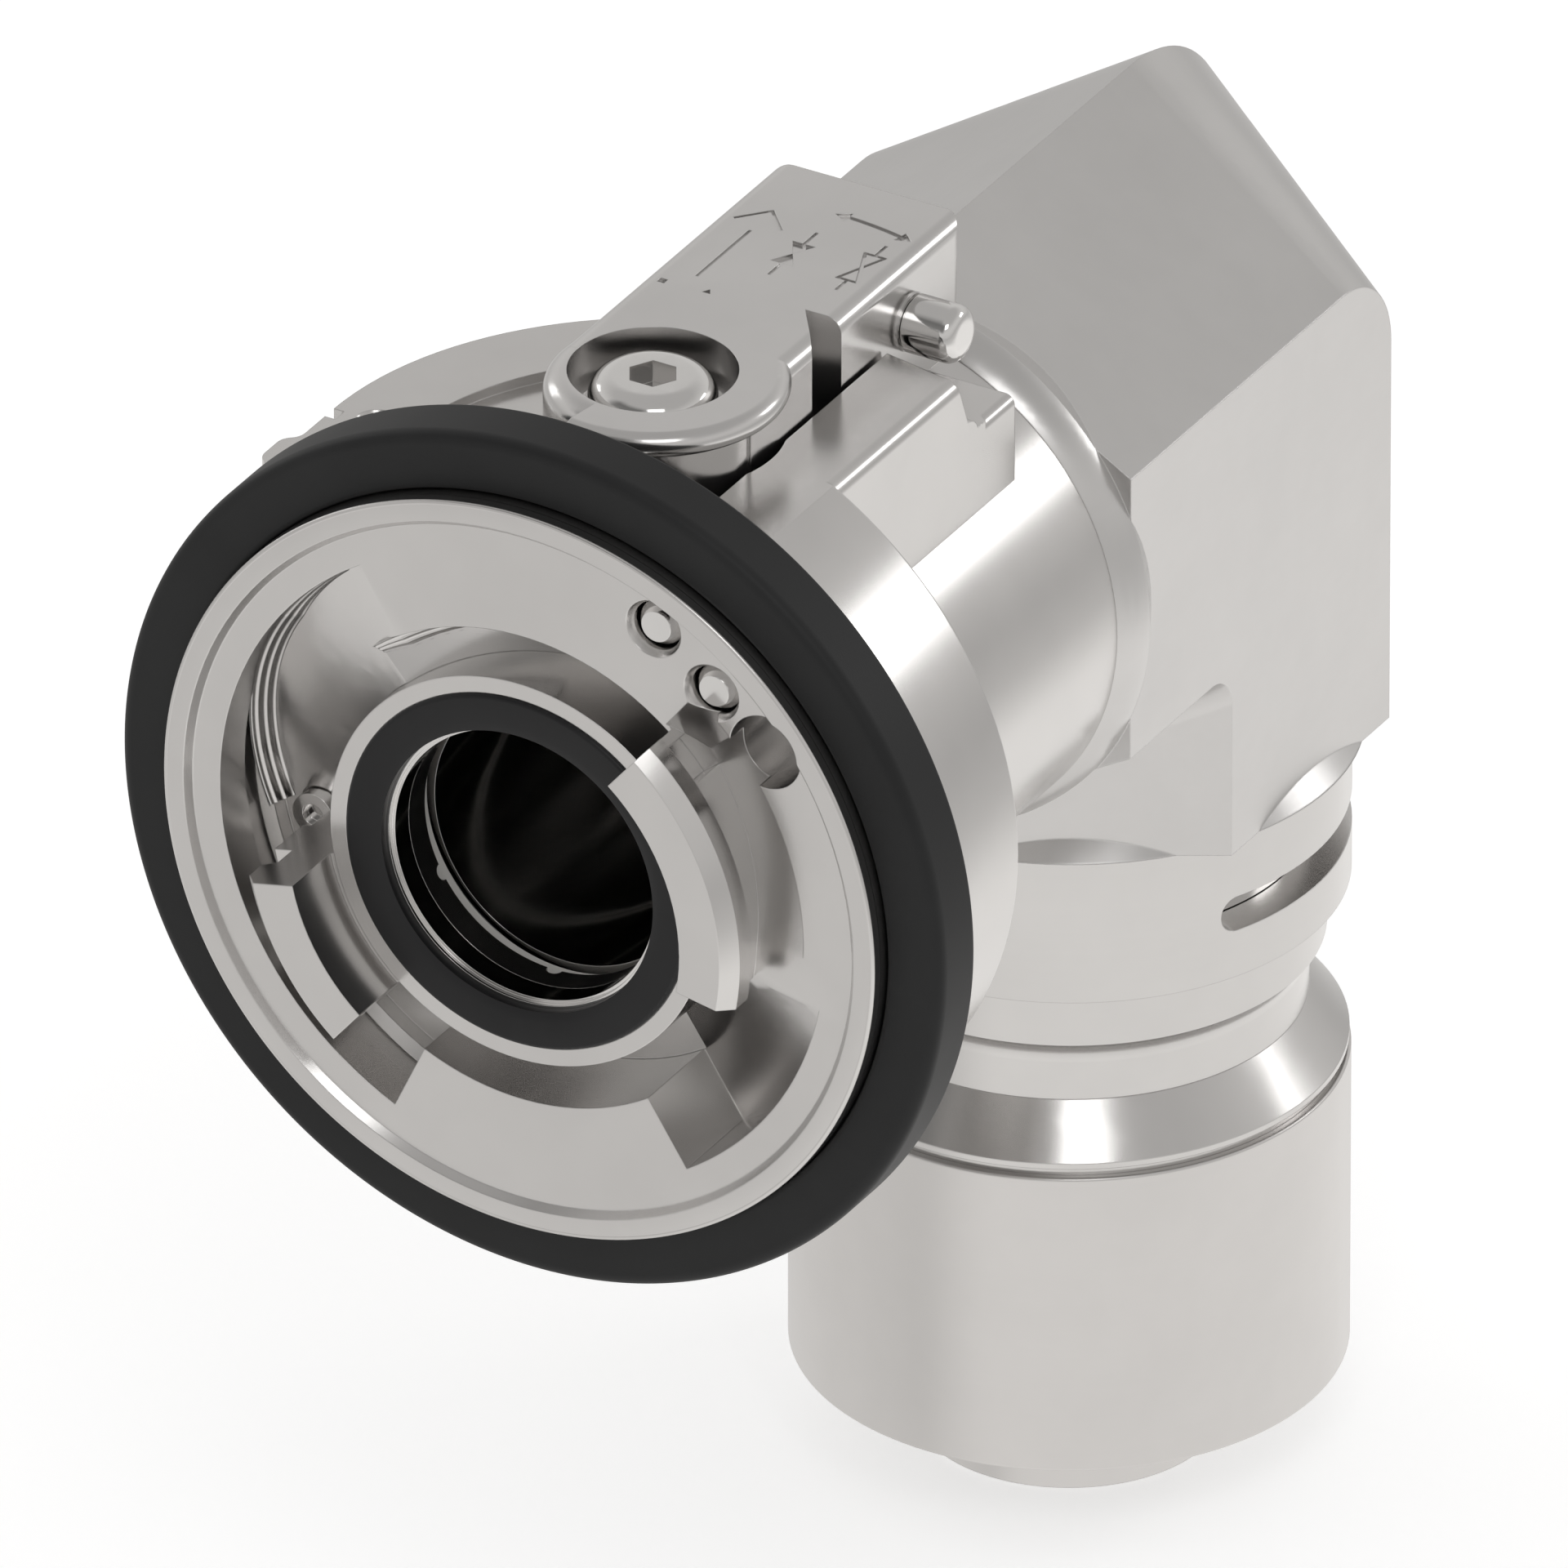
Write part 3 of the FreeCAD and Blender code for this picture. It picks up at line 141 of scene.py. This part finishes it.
def bandNode(tree, value, low, high, soft):
    # 1 between low and high, falling to 0 over soft on each side
    masks = []
    for start, stop in ((low - soft, low + soft), (high + soft, high - soft)):
        edge = addNode(tree, "MapRange")
        edge.interpolation_type = "SMOOTHSTEP"
        tree.links.new(value, edge.inputs["Value"])
        edge.inputs["From Min"].default_value = start
        edge.inputs["From Max"].default_value = stop
        masks.append(edge.outputs[0])
    return mathNode(tree, "MULTIPLY", *masks)


def multiplyNode(tree, first, second, factor=None):
    mixed = tree.nodes.new("ShaderNodeMix")
    mixed.data_type = "RGBA"
    mixed.blend_type = "MULTIPLY"
    mixed.inputs["Factor"].default_value = 1
    if factor:
        tree.links.new(factor, mixed.inputs["Factor"])
    tree.links.new(first, mixed.inputs["A"])
    tree.links.new(second, mixed.inputs["B"])
    return mixed.outputs["Result"]


def noiseNode(tree, vector, scale, detail, roughness):
    noise = addNode(tree, "TexNoise", Scale=scale, Detail=detail, Roughness=roughness)
    tree.links.new(vector, noise.inputs["Vector"])
    return noise.outputs["Fac"]


# Studio

studio = {"floorDrop": 0.0004, "floorWide": 3.0, "floorTone": 0.8, "cameraLift": 0.5,
          "plainLight": 0.6, "mirrorLight": 1.2,
          "shades": [(0.0, 0.78), (0.24, 0.93), (0.34, 0.58), (0.46, 0.47), (0.56, 0.58), (0.68, 0.62),
                     (0.76, 0.57), (0.88, 0.44), (1.0, 0.43)], "tint": (1, 0.985, 0.965),
          "left": [(0.08, 0.83), (0.2, 0.8), (0.28, 0.75), (0.36, 0.9), (0.46, 1.0)],
          "leftUp": (-2, -0.3), "leftSoft": 0.15,
          "flagTurn": (-62, 14), "flagUp": (0.42, 0.8), "flagTone": 0.34, "turnSoft": 0.22, "upSoft": 0.1}
lampCentre = Vector((0, 0.06, 0))

softboxes = {
    "frontBox": {"turn": 36, "up": 0.73, "far": 1.1, "size": (0.42, 0.34), "power": 1.1},
    "rearBox": {"turn": 139, "up": 0.38, "far": 1.1, "size": (0.32, 0.24), "power": 0.65},
    "leftBox": {"turn": -100, "up": 0.25, "far": 1.2, "size": (0.3, 0.5), "power": 0.6},
}


def buildWorld(values):
    world = bpy.data.worlds.new("studio")
    bpy.context.scene.world = world
    world.use_nodes = True
    tree = world.node_tree
    tree.nodes.clear()
    direction = addNode(tree, "TexCoord").outputs["Generated"]
    split = addNode(tree, "SeparateXYZ")
    tree.links.new(direction, split.inputs[0])
    # pale below, greyer at eye level and overhead, and greyer low on the left
    tall = rampNode(tree, halfNode(tree, split.outputs["Z"]), greyStops(values["shades"], values["tint"]))
    wide = rampNode(tree, halfNode(tree, split.outputs["X"]), greyStops(values["left"]))
    low = bandNode(tree, split.outputs["Z"], *values["leftUp"], values["leftSoft"])
    # a dark flag above the front
    front = mathNode(tree, "MULTIPLY", split.outputs["Y"], -1)
    turn = mathNode(tree, "ARCTAN2", split.outputs["X"], front)
    turns = [math.radians(angle) for angle in values["flagTurn"]]
    flag = mathNode(tree, "MULTIPLY", bandNode(tree, turn, *turns, values["turnSoft"]),
                    bandNode(tree, split.outputs["Z"], *values["flagUp"], values["upSoft"]))
    shaded = rampNode(tree, flag, greyStops([(0.0, 1), (1.0, values["flagTone"])]))
    mixed = multiplyNode(tree, multiplyNode(tree, tall, wide, low), shaded)
    seen = addNode(tree, "Background", Color=(1, 1, 1, 1), Strength=1)
    mirrored = addNode(tree, "Background", Strength=values["mirrorLight"])
    tree.links.new(mixed, mirrored.inputs["Color"])
    lighting = addNode(tree, "Background", Color=(1, 0.995, 0.99, 1), Strength=values["plainLight"])
    path = addNode(tree, "LightPath")
    first = addNode(tree, "MixShader")
    second = addNode(tree, "MixShader")
    tree.links.new(path.outputs["Is Glossy Ray"], first.inputs["Fac"])
    tree.links.new(lighting.outputs[0], first.inputs[1])
    tree.links.new(mirrored.outputs[0], first.inputs[2])
    behind = mathNode(tree, "MAXIMUM", path.outputs["Is Camera Ray"], path.outputs["Is Transmission Ray"])
    tree.links.new(behind, second.inputs["Fac"])
    tree.links.new(first.outputs[0], second.inputs[1])
    tree.links.new(seen.outputs[0], second.inputs[2])
    output = addNode(tree, "OutputWorld")
    tree.links.new(second.outputs[0], output.inputs["Surface"])


def buildFloor(values):
    low = cadBox[0].z - values["floorDrop"]
    bm = bmesh.new()
    bmesh.ops.create_grid(bm, x_segments=1, y_segments=1, size=values["floorWide"],
                          matrix=Matrix.Translation((0, elbowY, low)))
    floor = meshObject("floor", bm)
    material, tree = emptyMaterial("paleFloor")
    matte = addNode(tree, "BsdfDiffuse", Color=(values["floorTone"],) * 3 + (1,))
    glow = addNode(tree, "Emission", Color=(1, 1, 1, 1), Strength=values["cameraLift"])
    path = addNode(tree, "LightPath")
    both = addNode(tree, "AddShader")
    tree.links.new(matte.outputs[0], both.inputs[0])
    tree.links.new(glow.outputs[0], both.inputs[1])
    through = addNode(tree, "BsdfTransparent")
    camera = addNode(tree, "MixShader")
    tree.links.new(path.outputs["Is Camera Ray"], camera.inputs["Fac"])
    tree.links.new(matte.outputs[0], camera.inputs[1])
    tree.links.new(both.outputs[0], camera.inputs[2])
    mirrored = addNode(tree, "MixShader")    # reflections see the studio round the floor
    tree.links.new(path.outputs["Is Glossy Ray"], mirrored.inputs["Fac"])
    tree.links.new(camera.outputs[0], mirrored.inputs[1])
    tree.links.new(through.outputs[0], mirrored.inputs[2])
    output = addNode(tree, "OutputMaterial")
    tree.links.new(mirrored.outputs[0], output.inputs["Surface"])
    floor.data.materials.append(material)


def placeLamp(name, values):
    data = bpy.data.lights.new(name, "AREA")
    data.shape = "RECTANGLE"
    data.size, data.size_y = values["size"]
    data.energy = values["power"]
    lamp = bpy.data.objects.new(name, data)
    bpy.context.scene.collection.objects.link(lamp)
    turn, level = math.radians(values["turn"]), math.sqrt(1 - values["up"] ** 2)
    towards = Vector((math.sin(turn) * level, -math.cos(turn) * level, values["up"]))
    lamp.location = lampCentre + towards * values["far"]
    lamp.rotation_mode = "QUATERNION"
    lamp.rotation_quaternion = (-towards).to_track_quat("-Z", "Y")


buildWorld(studio)
buildFloor(studio)
for name, values in softboxes.items():
    placeLamp(name, values)
print("studio built")


# Finishes. Lengths are metres; scales of marks and grain are per metre.

finishes = {
    "turnedSteel": {"tone": (0.64, 0.628, 0.618), "rough": 0.22, "spread": 0.05,
                    "marks": 2600, "depth": 0.05, "edge": 0.0002},
    "barrelSteel": {"tone": (0.67, 0.655, 0.643), "rough": 0.3, "spread": 0.05,
                    "marks": 2600, "depth": 0.05, "edge": 0.0002},
    "milledSteel": {"tone": (0.64, 0.63, 0.622), "rough": 0.2, "spread": 0.05,
                    "marks": 2200, "depth": 0.04, "edge": 0.00012},
    "barSteel": {"tone": (0.64, 0.63, 0.622), "rough": 0.3, "spread": 0.05,
                 "marks": 1500, "depth": 0.03, "edge": 0.00025},
    "brightSteel": {"tone": (0.72, 0.71, 0.7), "rough": 0.1, "spread": 0.04,
                    "marks": 4000, "depth": 0.02, "edge": 0.0001},
}
steelShared = {"slant": 0.7, "squeeze": 0.12, "markDetail": (2, 0.6), "markHeight": 0.00002,
               "cloudScale": 45, "cloudDetail": (4, 0.6), "cloudStops": (0.3, 0.7), "worn": 0.93,
               "edgeSamples": 6}


def steelMaterial(name, axis=None, centre=(0, 0)):
    # axis "Y" or "Z": lathe marks run round it. Without an axis the surface has fine milled grain.
    values = finishes[name]
    material, tree = emptyMaterial(name + (axis or "") + ("Elbow" if centre[1] else ""))
    place = addNode(tree, "TexCoord").outputs["Object"]
    split = addNode(tree, "SeparateXYZ")
    tree.links.new(place, split.inputs[0])
    if axis:
        along = split.outputs[axis]
        first = mathNode(tree, "SUBTRACT", split.outputs["X"], centre[0])
        second = mathNode(tree, "SUBTRACT", split.outputs["Z" if axis == "Y" else "Y"], centre[1])
        squares = [mathNode(tree, "MULTIPLY", distance, distance) for distance in (first, second)]
        square = mathNode(tree, "ADD", *squares)
        reach = mathNode(tree, "SQRT", square)
        turned = addNode(tree, "CombineXYZ")
        slant = mathNode(tree, "MULTIPLY", along, steelShared["slant"])
        tree.links.new(mathNode(tree, "ADD", reach, slant), turned.inputs["X"])
        grained = turned.outputs[0]
    else:
        stretch = addNode(tree, "Mapping", Scale=(1, steelShared["squeeze"], 1))
        tree.links.new(place, stretch.inputs["Vector"])
        grained = stretch.outputs[0]
    marks = noiseNode(tree, grained, values["marks"], *steelShared["markDetail"])
    handled = noiseNode(tree, place, steelShared["cloudScale"], *steelShared["cloudDetail"])
    shader = addNode(tree, "BsdfPrincipled", Metallic=1.0)
    halves = [mathNode(tree, "MULTIPLY", noise, 0.5) for noise in (marks, handled)]
    mixedRough = mathNode(tree, "ADD", *halves)
    spread = values["spread"]
    roughness = mathNode(tree, "MULTIPLY_ADD", mixedRough, 2 * spread, values["rough"] - spread)
    tree.links.new(roughness, shader.inputs["Roughness"])
    tone = values["tone"]
    worn = tuple(channel * steelShared["worn"] for channel in tone)
    colour = rampNode(tree, handled, list(zip(steelShared["cloudStops"], (worn, tone))))
    tree.links.new(colour, shader.inputs["Base Color"])
    edges = addNode(tree, "Bevel", Radius=values["edge"])
    edges.samples = steelShared["edgeSamples"]
    bump = addNode(tree, "Bump", Strength=values["depth"], Distance=steelShared["markHeight"])
    tree.links.new(marks, bump.inputs["Height"])
    tree.links.new(edges.outputs[0], bump.inputs["Normal"])
    tree.links.new(bump.outputs[0], shader.inputs["Normal"])
    output = addNode(tree, "OutputMaterial")
    tree.links.new(shader.outputs[0], output.inputs["Surface"])
    return material


softFinishes = {
    "bumperRubber": {"tone": (0.011, 0.0113, 0.012), "pale": (0.018, 0.0185, 0.019),
                     "rough": 0.52, "shine": 0.3, "grain": 5000, "depth": 0.25},
    "sealRubber": {"tone": (0.008, 0.008, 0.009), "pale": (0.013, 0.013, 0.014),
                   "rough": 0.4, "shine": 0.3, "grain": 4000, "depth": 0.12},
    "seatPlastic": {"tone": (0.74, 0.73, 0.7), "pale": (0.8, 0.79, 0.76),
                    "rough": 0.5, "shine": 0.5, "grain": 3000, "depth": 0.08},
}
softShared = {"grainDetail": (3, 0.6), "grainHeight": 0.00004, "cloudScale": 60, "cloudDetail": (4, 0.55),
              "cloudStops": (0.35, 0.7), "spread": 0.08}


def softMaterial(name):
    values = softFinishes[name]
    material, tree = emptyMaterial(name)
    place = addNode(tree, "TexCoord").outputs["Object"]
    grain = noiseNode(tree, place, values["grain"], *softShared["grainDetail"])
    cloud = noiseNode(tree, place, softShared["cloudScale"], *softShared["cloudDetail"])
    shader = addNode(tree, "BsdfPrincipled")
    shader.inputs["Specular IOR Level"].default_value = values["shine"]
    colour = rampNode(tree, cloud, list(zip(softShared["cloudStops"], (values["tone"], values["pale"]))))
    tree.links.new(colour, shader.inputs["Base Color"])
    spread = softShared["spread"]
    roughness = mathNode(tree, "MULTIPLY_ADD", cloud, 2 * spread, values["rough"] - spread)
    tree.links.new(roughness, shader.inputs["Roughness"])
    bump = addNode(tree, "Bump", Strength=values["depth"], Distance=softShared["grainHeight"])
    tree.links.new(grain, bump.inputs["Height"])
    tree.links.new(bump.outputs[0], shader.inputs["Normal"])
    output = addNode(tree, "OutputMaterial")
    tree.links.new(shader.outputs[0], output.inputs["Surface"])
    return material


faceSteel = steelMaterial("turnedSteel", "Y")
swivelSteel = steelMaterial("turnedSteel", "Z", (0, elbowY))
barrelSteel = steelMaterial("barrelSteel", "Z", (0, elbowY))
leverSteel = steelMaterial("milledSteel")
barSteel = steelMaterial("barSteel")
brightSteel = steelMaterial("brightSteel")
bumperRubber = softMaterial("bumperRubber")
sealRubber = softMaterial("sealRubber")
seatPlastic = softMaterial("seatPlastic")
nodeFinish = {
    "claw_ring": faceSteel, "valve_body": faceSteel, "nose_tube": faceSteel, "nose_sleeve": brightSteel,
    "bumper_ring": bumperRubber, "nose_seal": sealRubber, "face_screws": brightSteel,
    "interlock_spring_upper": brightSteel, "interlock_spring_lower": brightSteel,
    "seat_front": seatPlastic, "seat_rear": seatPlastic, "stem_seal": seatPlastic,
    "elbow_block": barSteel, "swivel_leg": swivelSteel, "tail_tube": faceSteel,
    "elbow_gasket": seatPlastic, "retaining_ring": brightSteel,
    "valve_lever": leverSteel, "lever_washer": brightSteel, "lever_screw": brightSteel,
    "valve_stem": brightSteel, "valve_ball": brightSteel, "lock_spring": brightSteel,
    "lock_knob": brightSteel, "lock_pin": brightSteel,
    "interlock_pin_upper": brightSteel, "interlock_pin_lower": brightSteel,
    "swivel_nipple": swivelSteel, "swivel_seal": sealRubber, "wiper_ring": sealRubber,
    "barrel_collar": swivelSteel, "lower_barrel": barrelSteel, "barrel_seal": seatPlastic,
    "pipe_end": barrelSteel,
}
dressing = {"weld": 0.000002, "crease": math.radians(25), "evenWeight": 80}


def dress(piece, material):
    mesh = piece.data
    mesh.materials.clear()
    mesh.materials.append(material)
    for polygon in mesh.polygons:
        polygon.use_smooth = True
    weld = piece.modifiers.new("weld", "WELD")
    weld.merge_threshold = dressing["weld"]
    split = piece.modifiers.new("creases", "EDGE_SPLIT")
    split.split_angle = dressing["crease"]
    # keeps the flats flat beside their rounded edges
    even = piece.modifiers.new("evenNormals", "WEIGHTED_NORMAL")
    even.weight = dressing["evenWeight"]
    even.keep_sharp = True


for name, node in nodes.items():
    dress(node, nodeFinish[name])
print("finishes set on the nodes")


# Turned pieces with finer rounds than their nodes. Corners are millimetres: radius, place along the axis
# and how far the corner is rounded.

turnedPieces = {
    "roundBumper": {
        "axis": "Y", "node": "bumper_ring", "body": "valve", "slot": "bumper", "material": bumperRubber,
        "corners": [(44.04, 0, 0.75), (50.8, 0, 1.5), (50.8, 7.4, 0.6), (44.04, 7.4, 0.2)]},
    "rimEdge": {
        "axis": "Y", "node": None, "body": "valve", "slot": "steel", "material": faceSteel,
        "corners": [(43, -2.4, 0), (43.5, -2.503, 0), (44.003, -2.503, 0.4), (44.003, -1, 0), (43, -1, 0)]},
    "groovedNeck": {
        "axis": "Z", "node": "swivel_nipple", "body": "swivel", "slot": "steel", "material": swivelSteel,
        "corners": [(16.1, -96, 0), (16.1, -41, 0), (23.9, -41, 0.2), (23.9, -43.6, 0), (21.4, -43.6, 0),
                    (21.4, -46.6, 0), (23.9, -46.6, 0), (23.9, -48.6, 0), (22.4, -48.6, 0), (22.4, -52.8, 0),
                    (23.9, -52.8, 0), (23.9, -55, 0), (21.4, -55, 0), (21.4, -57.2, 0), (23.9, -57.2, 0),
                    (23.9, -58.9, 0), (28, -58.9, 0.2), (28, -65.5, 0.1), (26.1, -66.9, 1.8),
                    (26.1, -73.35, 0), (20, -73.35, 0), (20, -96, 0)]},
}
roundSteps = 8
turnSteps = 288


def roundedProfile(corners):
    points = []
    for index, (radius, place, size) in enumerate(corners):
        here = Vector((radius, place))
        if not size:
            points.append(here)
            continue
        before = here + (Vector(corners[index - 1][:2]) - here).normalized() * size
        after = here + (Vector(corners[(index + 1) % len(corners)][:2]) - here).normalized() * size
        for step in range(roundSteps + 1):
            part = step / roundSteps
            points.append(before * (1 - part) ** 2 + here * 2 * part * (1 - part) + after * part ** 2)
    return points


def turnPiece(name, values):
    upright = values["axis"] == "Z"
    bm = bmesh.new()
    profile = roundedProfile(values["corners"])
    verts = [bm.verts.new((point.x, 0, point.y) if upright else (point.x, point.y, 0)) for point in profile]
    edges = [bm.edges.new((vert, verts[index - 1])) for index, vert in enumerate(verts)]
    bmesh.ops.spin(bm, geom=verts + edges, cent=(0, 0, 0), axis=(0, 0, 1) if upright else (0, 1, 0),
                   angle=2 * math.pi, steps=turnSteps, use_merge=True)
    bmesh.ops.scale(bm, vec=(millimetre,) * 3, verts=bm.verts)
    if upright:
        bmesh.ops.translate(bm, vec=(0, elbowY, 0), verts=bm.verts)
    bmesh.ops.recalc_face_normals(bm, faces=bm.faces)
    piece = meshObject(name, bm)
    dress(piece, values["material"])
    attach(piece, values["body"])
    if values["node"]:
        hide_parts(values["node"])


for name, values in turnedPieces.items():
    turnPiece(name, values)
print("turned pieces made")


# Ridges that the cutter left along the outer walls of the ramps. A ramp's floor starts flush with the face
# at one angle and falls to its full depth over the sweep. Lengths are millimetres and angles degrees.

cutterRidges = {
    "leftRidges": {"start": 122, "sweep": 70, "wall": 37.4, "wide": 1.6, "high": 3.0,
                   "part": (0.05, 0.995)},
    "upperRidges": {"start": 141, "sweep": -91, "wall": 28.6, "wide": 2.2, "high": 1.8,
                    "part": (0.115, 0.62)},
}
ridgeShape = {"faceY": -1.64, "deep": 12.2, "fullAt": 1.3, "lines": 3, "sag": 0.26, "sunk": 0.05,
              "steps": 140, "lineSteps": 6}


def ridgeProfile(values, depth):
    # distance from the axis and place along it, from the wall down to the floor and back inside the ring
    scale = min(1, depth / (values["high"] * ridgeShape["fullAt"]))
    wide, high, wall = values["wide"] * scale, values["high"] * scale, values["wall"]
    floor = ridgeShape["faceY"] + depth
    corner = Vector((wide, high)).normalized()
    towards = Vector((corner.y, corner.x))
    sunk, total = ridgeShape["sunk"], ridgeShape["lines"] * ridgeShape["lineSteps"]
    points = []
    for step in range(total + 1):
        part = step / total
        local = step % ridgeShape["lineSteps"] / ridgeShape["lineSteps"]
        sag = ridgeShape["sag"] * scale * 4 * local * (1 - local)
        points.append((wall - wide * part + towards.x * sag, floor - high * (1 - part) + towards.y * sag))
    return points + [(wall - wide, floor + sunk), (wall + sunk, floor + sunk), (wall + sunk, floor - high)]


def cutRidges(name, values):
    bm = bmesh.new()
    rings = []
    first, last = values["part"]
    for step in range(ridgeShape["steps"] + 1):
        part = first + (last - first) * step / ridgeShape["steps"]
        angle = math.radians(values["start"] + values["sweep"] * part)
        profile = ridgeProfile(values, ridgeShape["deep"] * part)
        rings.append([bm.verts.new((reach * math.cos(angle), place, reach * math.sin(angle)))
                      for reach, place in profile])
    for ring, following in zip(rings, rings[1:]):
        for index in range(len(ring)):
            bm.faces.new((ring[index - 1], ring[index], following[index], following[index - 1]))
    bm.faces.new(rings[0])
    bm.faces.new(rings[-1])
    bmesh.ops.scale(bm, vec=(millimetre,) * 3, verts=bm.verts)
    bmesh.ops.recalc_face_normals(bm, faces=bm.faces)
    piece = meshObject(name, bm)
    dress(piece, faceSteel)
    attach(piece, "valve")


for name, values in cutterRidges.items():
    cutRidges(name, values)
print("cutter ridges made")


# Engraved lever: a merged copy of the lever with its signs cut in.
# Lengths are millimetres from the pivot: x to the right, y along the lever.

leverSigns = {
    "top": 47.5, "deep": 0.35, "stroke": 0.42, "overlap": 0.8,
    "strokes": [((-8.9, 33.0), (-6.15, 36.2)), ((-6.15, 36.2), (-3.3, 33.1)), ((-6.1, 20.0), (-6.1, 31.2)),
                ((0.4, 24.2), (0.4, 26.7)), ((0.4, 31.8), (0.4, 34.3)), ((8.3, 24.9), (8.3, 27.0)),
                ((8.3, 33.4), (8.3, 35.5)), ((7.1, 27.2), (9.5, 33.2)), ((9.5, 27.2), (7.1, 33.2)),
                ((7.1, 27.2), (9.5, 27.2)), ((7.1, 33.2), (9.5, 33.2))],
    "triangles": [((0.4, 27.65), 1.65, 90), ((0.4, 30.85), 1.65, -90), ((-3.4, 17.5), 0.6, 90)],
    "square": ((-8.8, 17.2), 0.9),
    "arc": {"reach": 39.1, "start": 76.6, "end": 88.4, "wide": 0.6, "head": 1.15, "steps": 12},
}


def addBlock(bm, centre, long, wide, tall, turn):
    made = bmesh.ops.create_cube(bm, size=1)["verts"]
    bmesh.ops.transform(bm, matrix=Matrix.Translation(centre) @ Matrix.Rotation(turn, 4, "Z")
                        @ Matrix.Diagonal((long, wide, tall, 1)), verts=made)


def addTriangle(bm, centre, size, tall, turn):
    bmesh.ops.create_cone(bm, cap_ends=True, segments=3, radius1=size, radius2=size, depth=tall,
                          matrix=Matrix.Translation(centre) @ Matrix.Rotation(turn, 4, "Z"))


def signCutter(values):
    tall = 2 * values["deep"]
    height = values["top"]
    bm = bmesh.new()
    for first, last in values["strokes"]:
        along = Vector(last) - Vector(first)
        middle = (Vector(first) + Vector(last)) / 2
        long = along.length + values["stroke"] * values["overlap"]
        addBlock(bm, (*middle, height), long, values["stroke"], tall, math.atan2(along.y, along.x))
    for spot, size, turn in values["triangles"]:
        addTriangle(bm, (*spot, height), size, tall, math.radians(turn - 90))
    spot, size = values["square"]
    addBlock(bm, (*spot, height), size, size, tall, 0)
    arc = values["arc"]
    start, end = math.radians(arc["start"]), math.radians(arc["end"])
    spot = Matrix.Rotation(start, 4, "Z") @ Matrix.Translation((arc["reach"], 0, height))
    shape = Matrix.Diagonal((arc["wide"], 1, tall, 1)) @ Matrix.Rotation(math.pi / 2, 4, "X")
    band = bmesh.ops.create_grid(bm, x_segments=1, y_segments=1, size=0.5, matrix=spot @ shape)
    faces = list({face for vert in band["verts"] for face in vert.link_faces})
    bmesh.ops.spin(bm, geom=band["verts"] + faces, cent=(0, 0, height), axis=(0, 0, 1),
                   angle=end - start, steps=arc["steps"])
    for angle, turn in ((start, -math.pi / 2), (end, math.pi / 2)):
        spot = Vector((math.cos(angle), math.sin(angle))) * arc["reach"]
        addTriangle(bm, (*spot, height), arc["head"], tall, angle + turn - math.pi / 2)
    bmesh.ops.recalc_face_normals(bm, faces=bm.faces)
    bmesh.ops.scale(bm, vec=(millimetre,) * 3, verts=bm.verts)
    bmesh.ops.translate(bm, vec=(0, pivotY, 0), verts=bm.verts)
    return meshObject("signCutter", bm)


def engraveLever(values):
    bm = bmesh.new()
    bm.from_mesh(nodes["valve_lever"].data)
    bmesh.ops.remove_doubles(bm, verts=bm.verts, dist=dressing["weld"])
    lever = meshObject("engravedLever", bm)
    cutter = signCutter(values)
    cut = lever.modifiers.new("signs", "BOOLEAN")
    cut.operation = "DIFFERENCE"
    cut.solver = "EXACT"
    cut.use_self = True
    cut.object = cutter
    ready = lever.evaluated_get(bpy.context.evaluated_depsgraph_get())
    engraved = bpy.data.meshes.new_from_object(ready)
    lever.modifiers.clear()
    merged = lever.data
    lever.data = engraved
    bpy.data.meshes.remove(merged)
    engraved.name = lever.name
    bpy.data.objects.remove(cutter)
    dress(lever, leverSteel)
    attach(lever, "lever")
    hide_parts("valve_lever")


engraveLever(leverSigns)
print("lever engraved")

bpy.context.scene.view_settings.view_transform = "Standard"
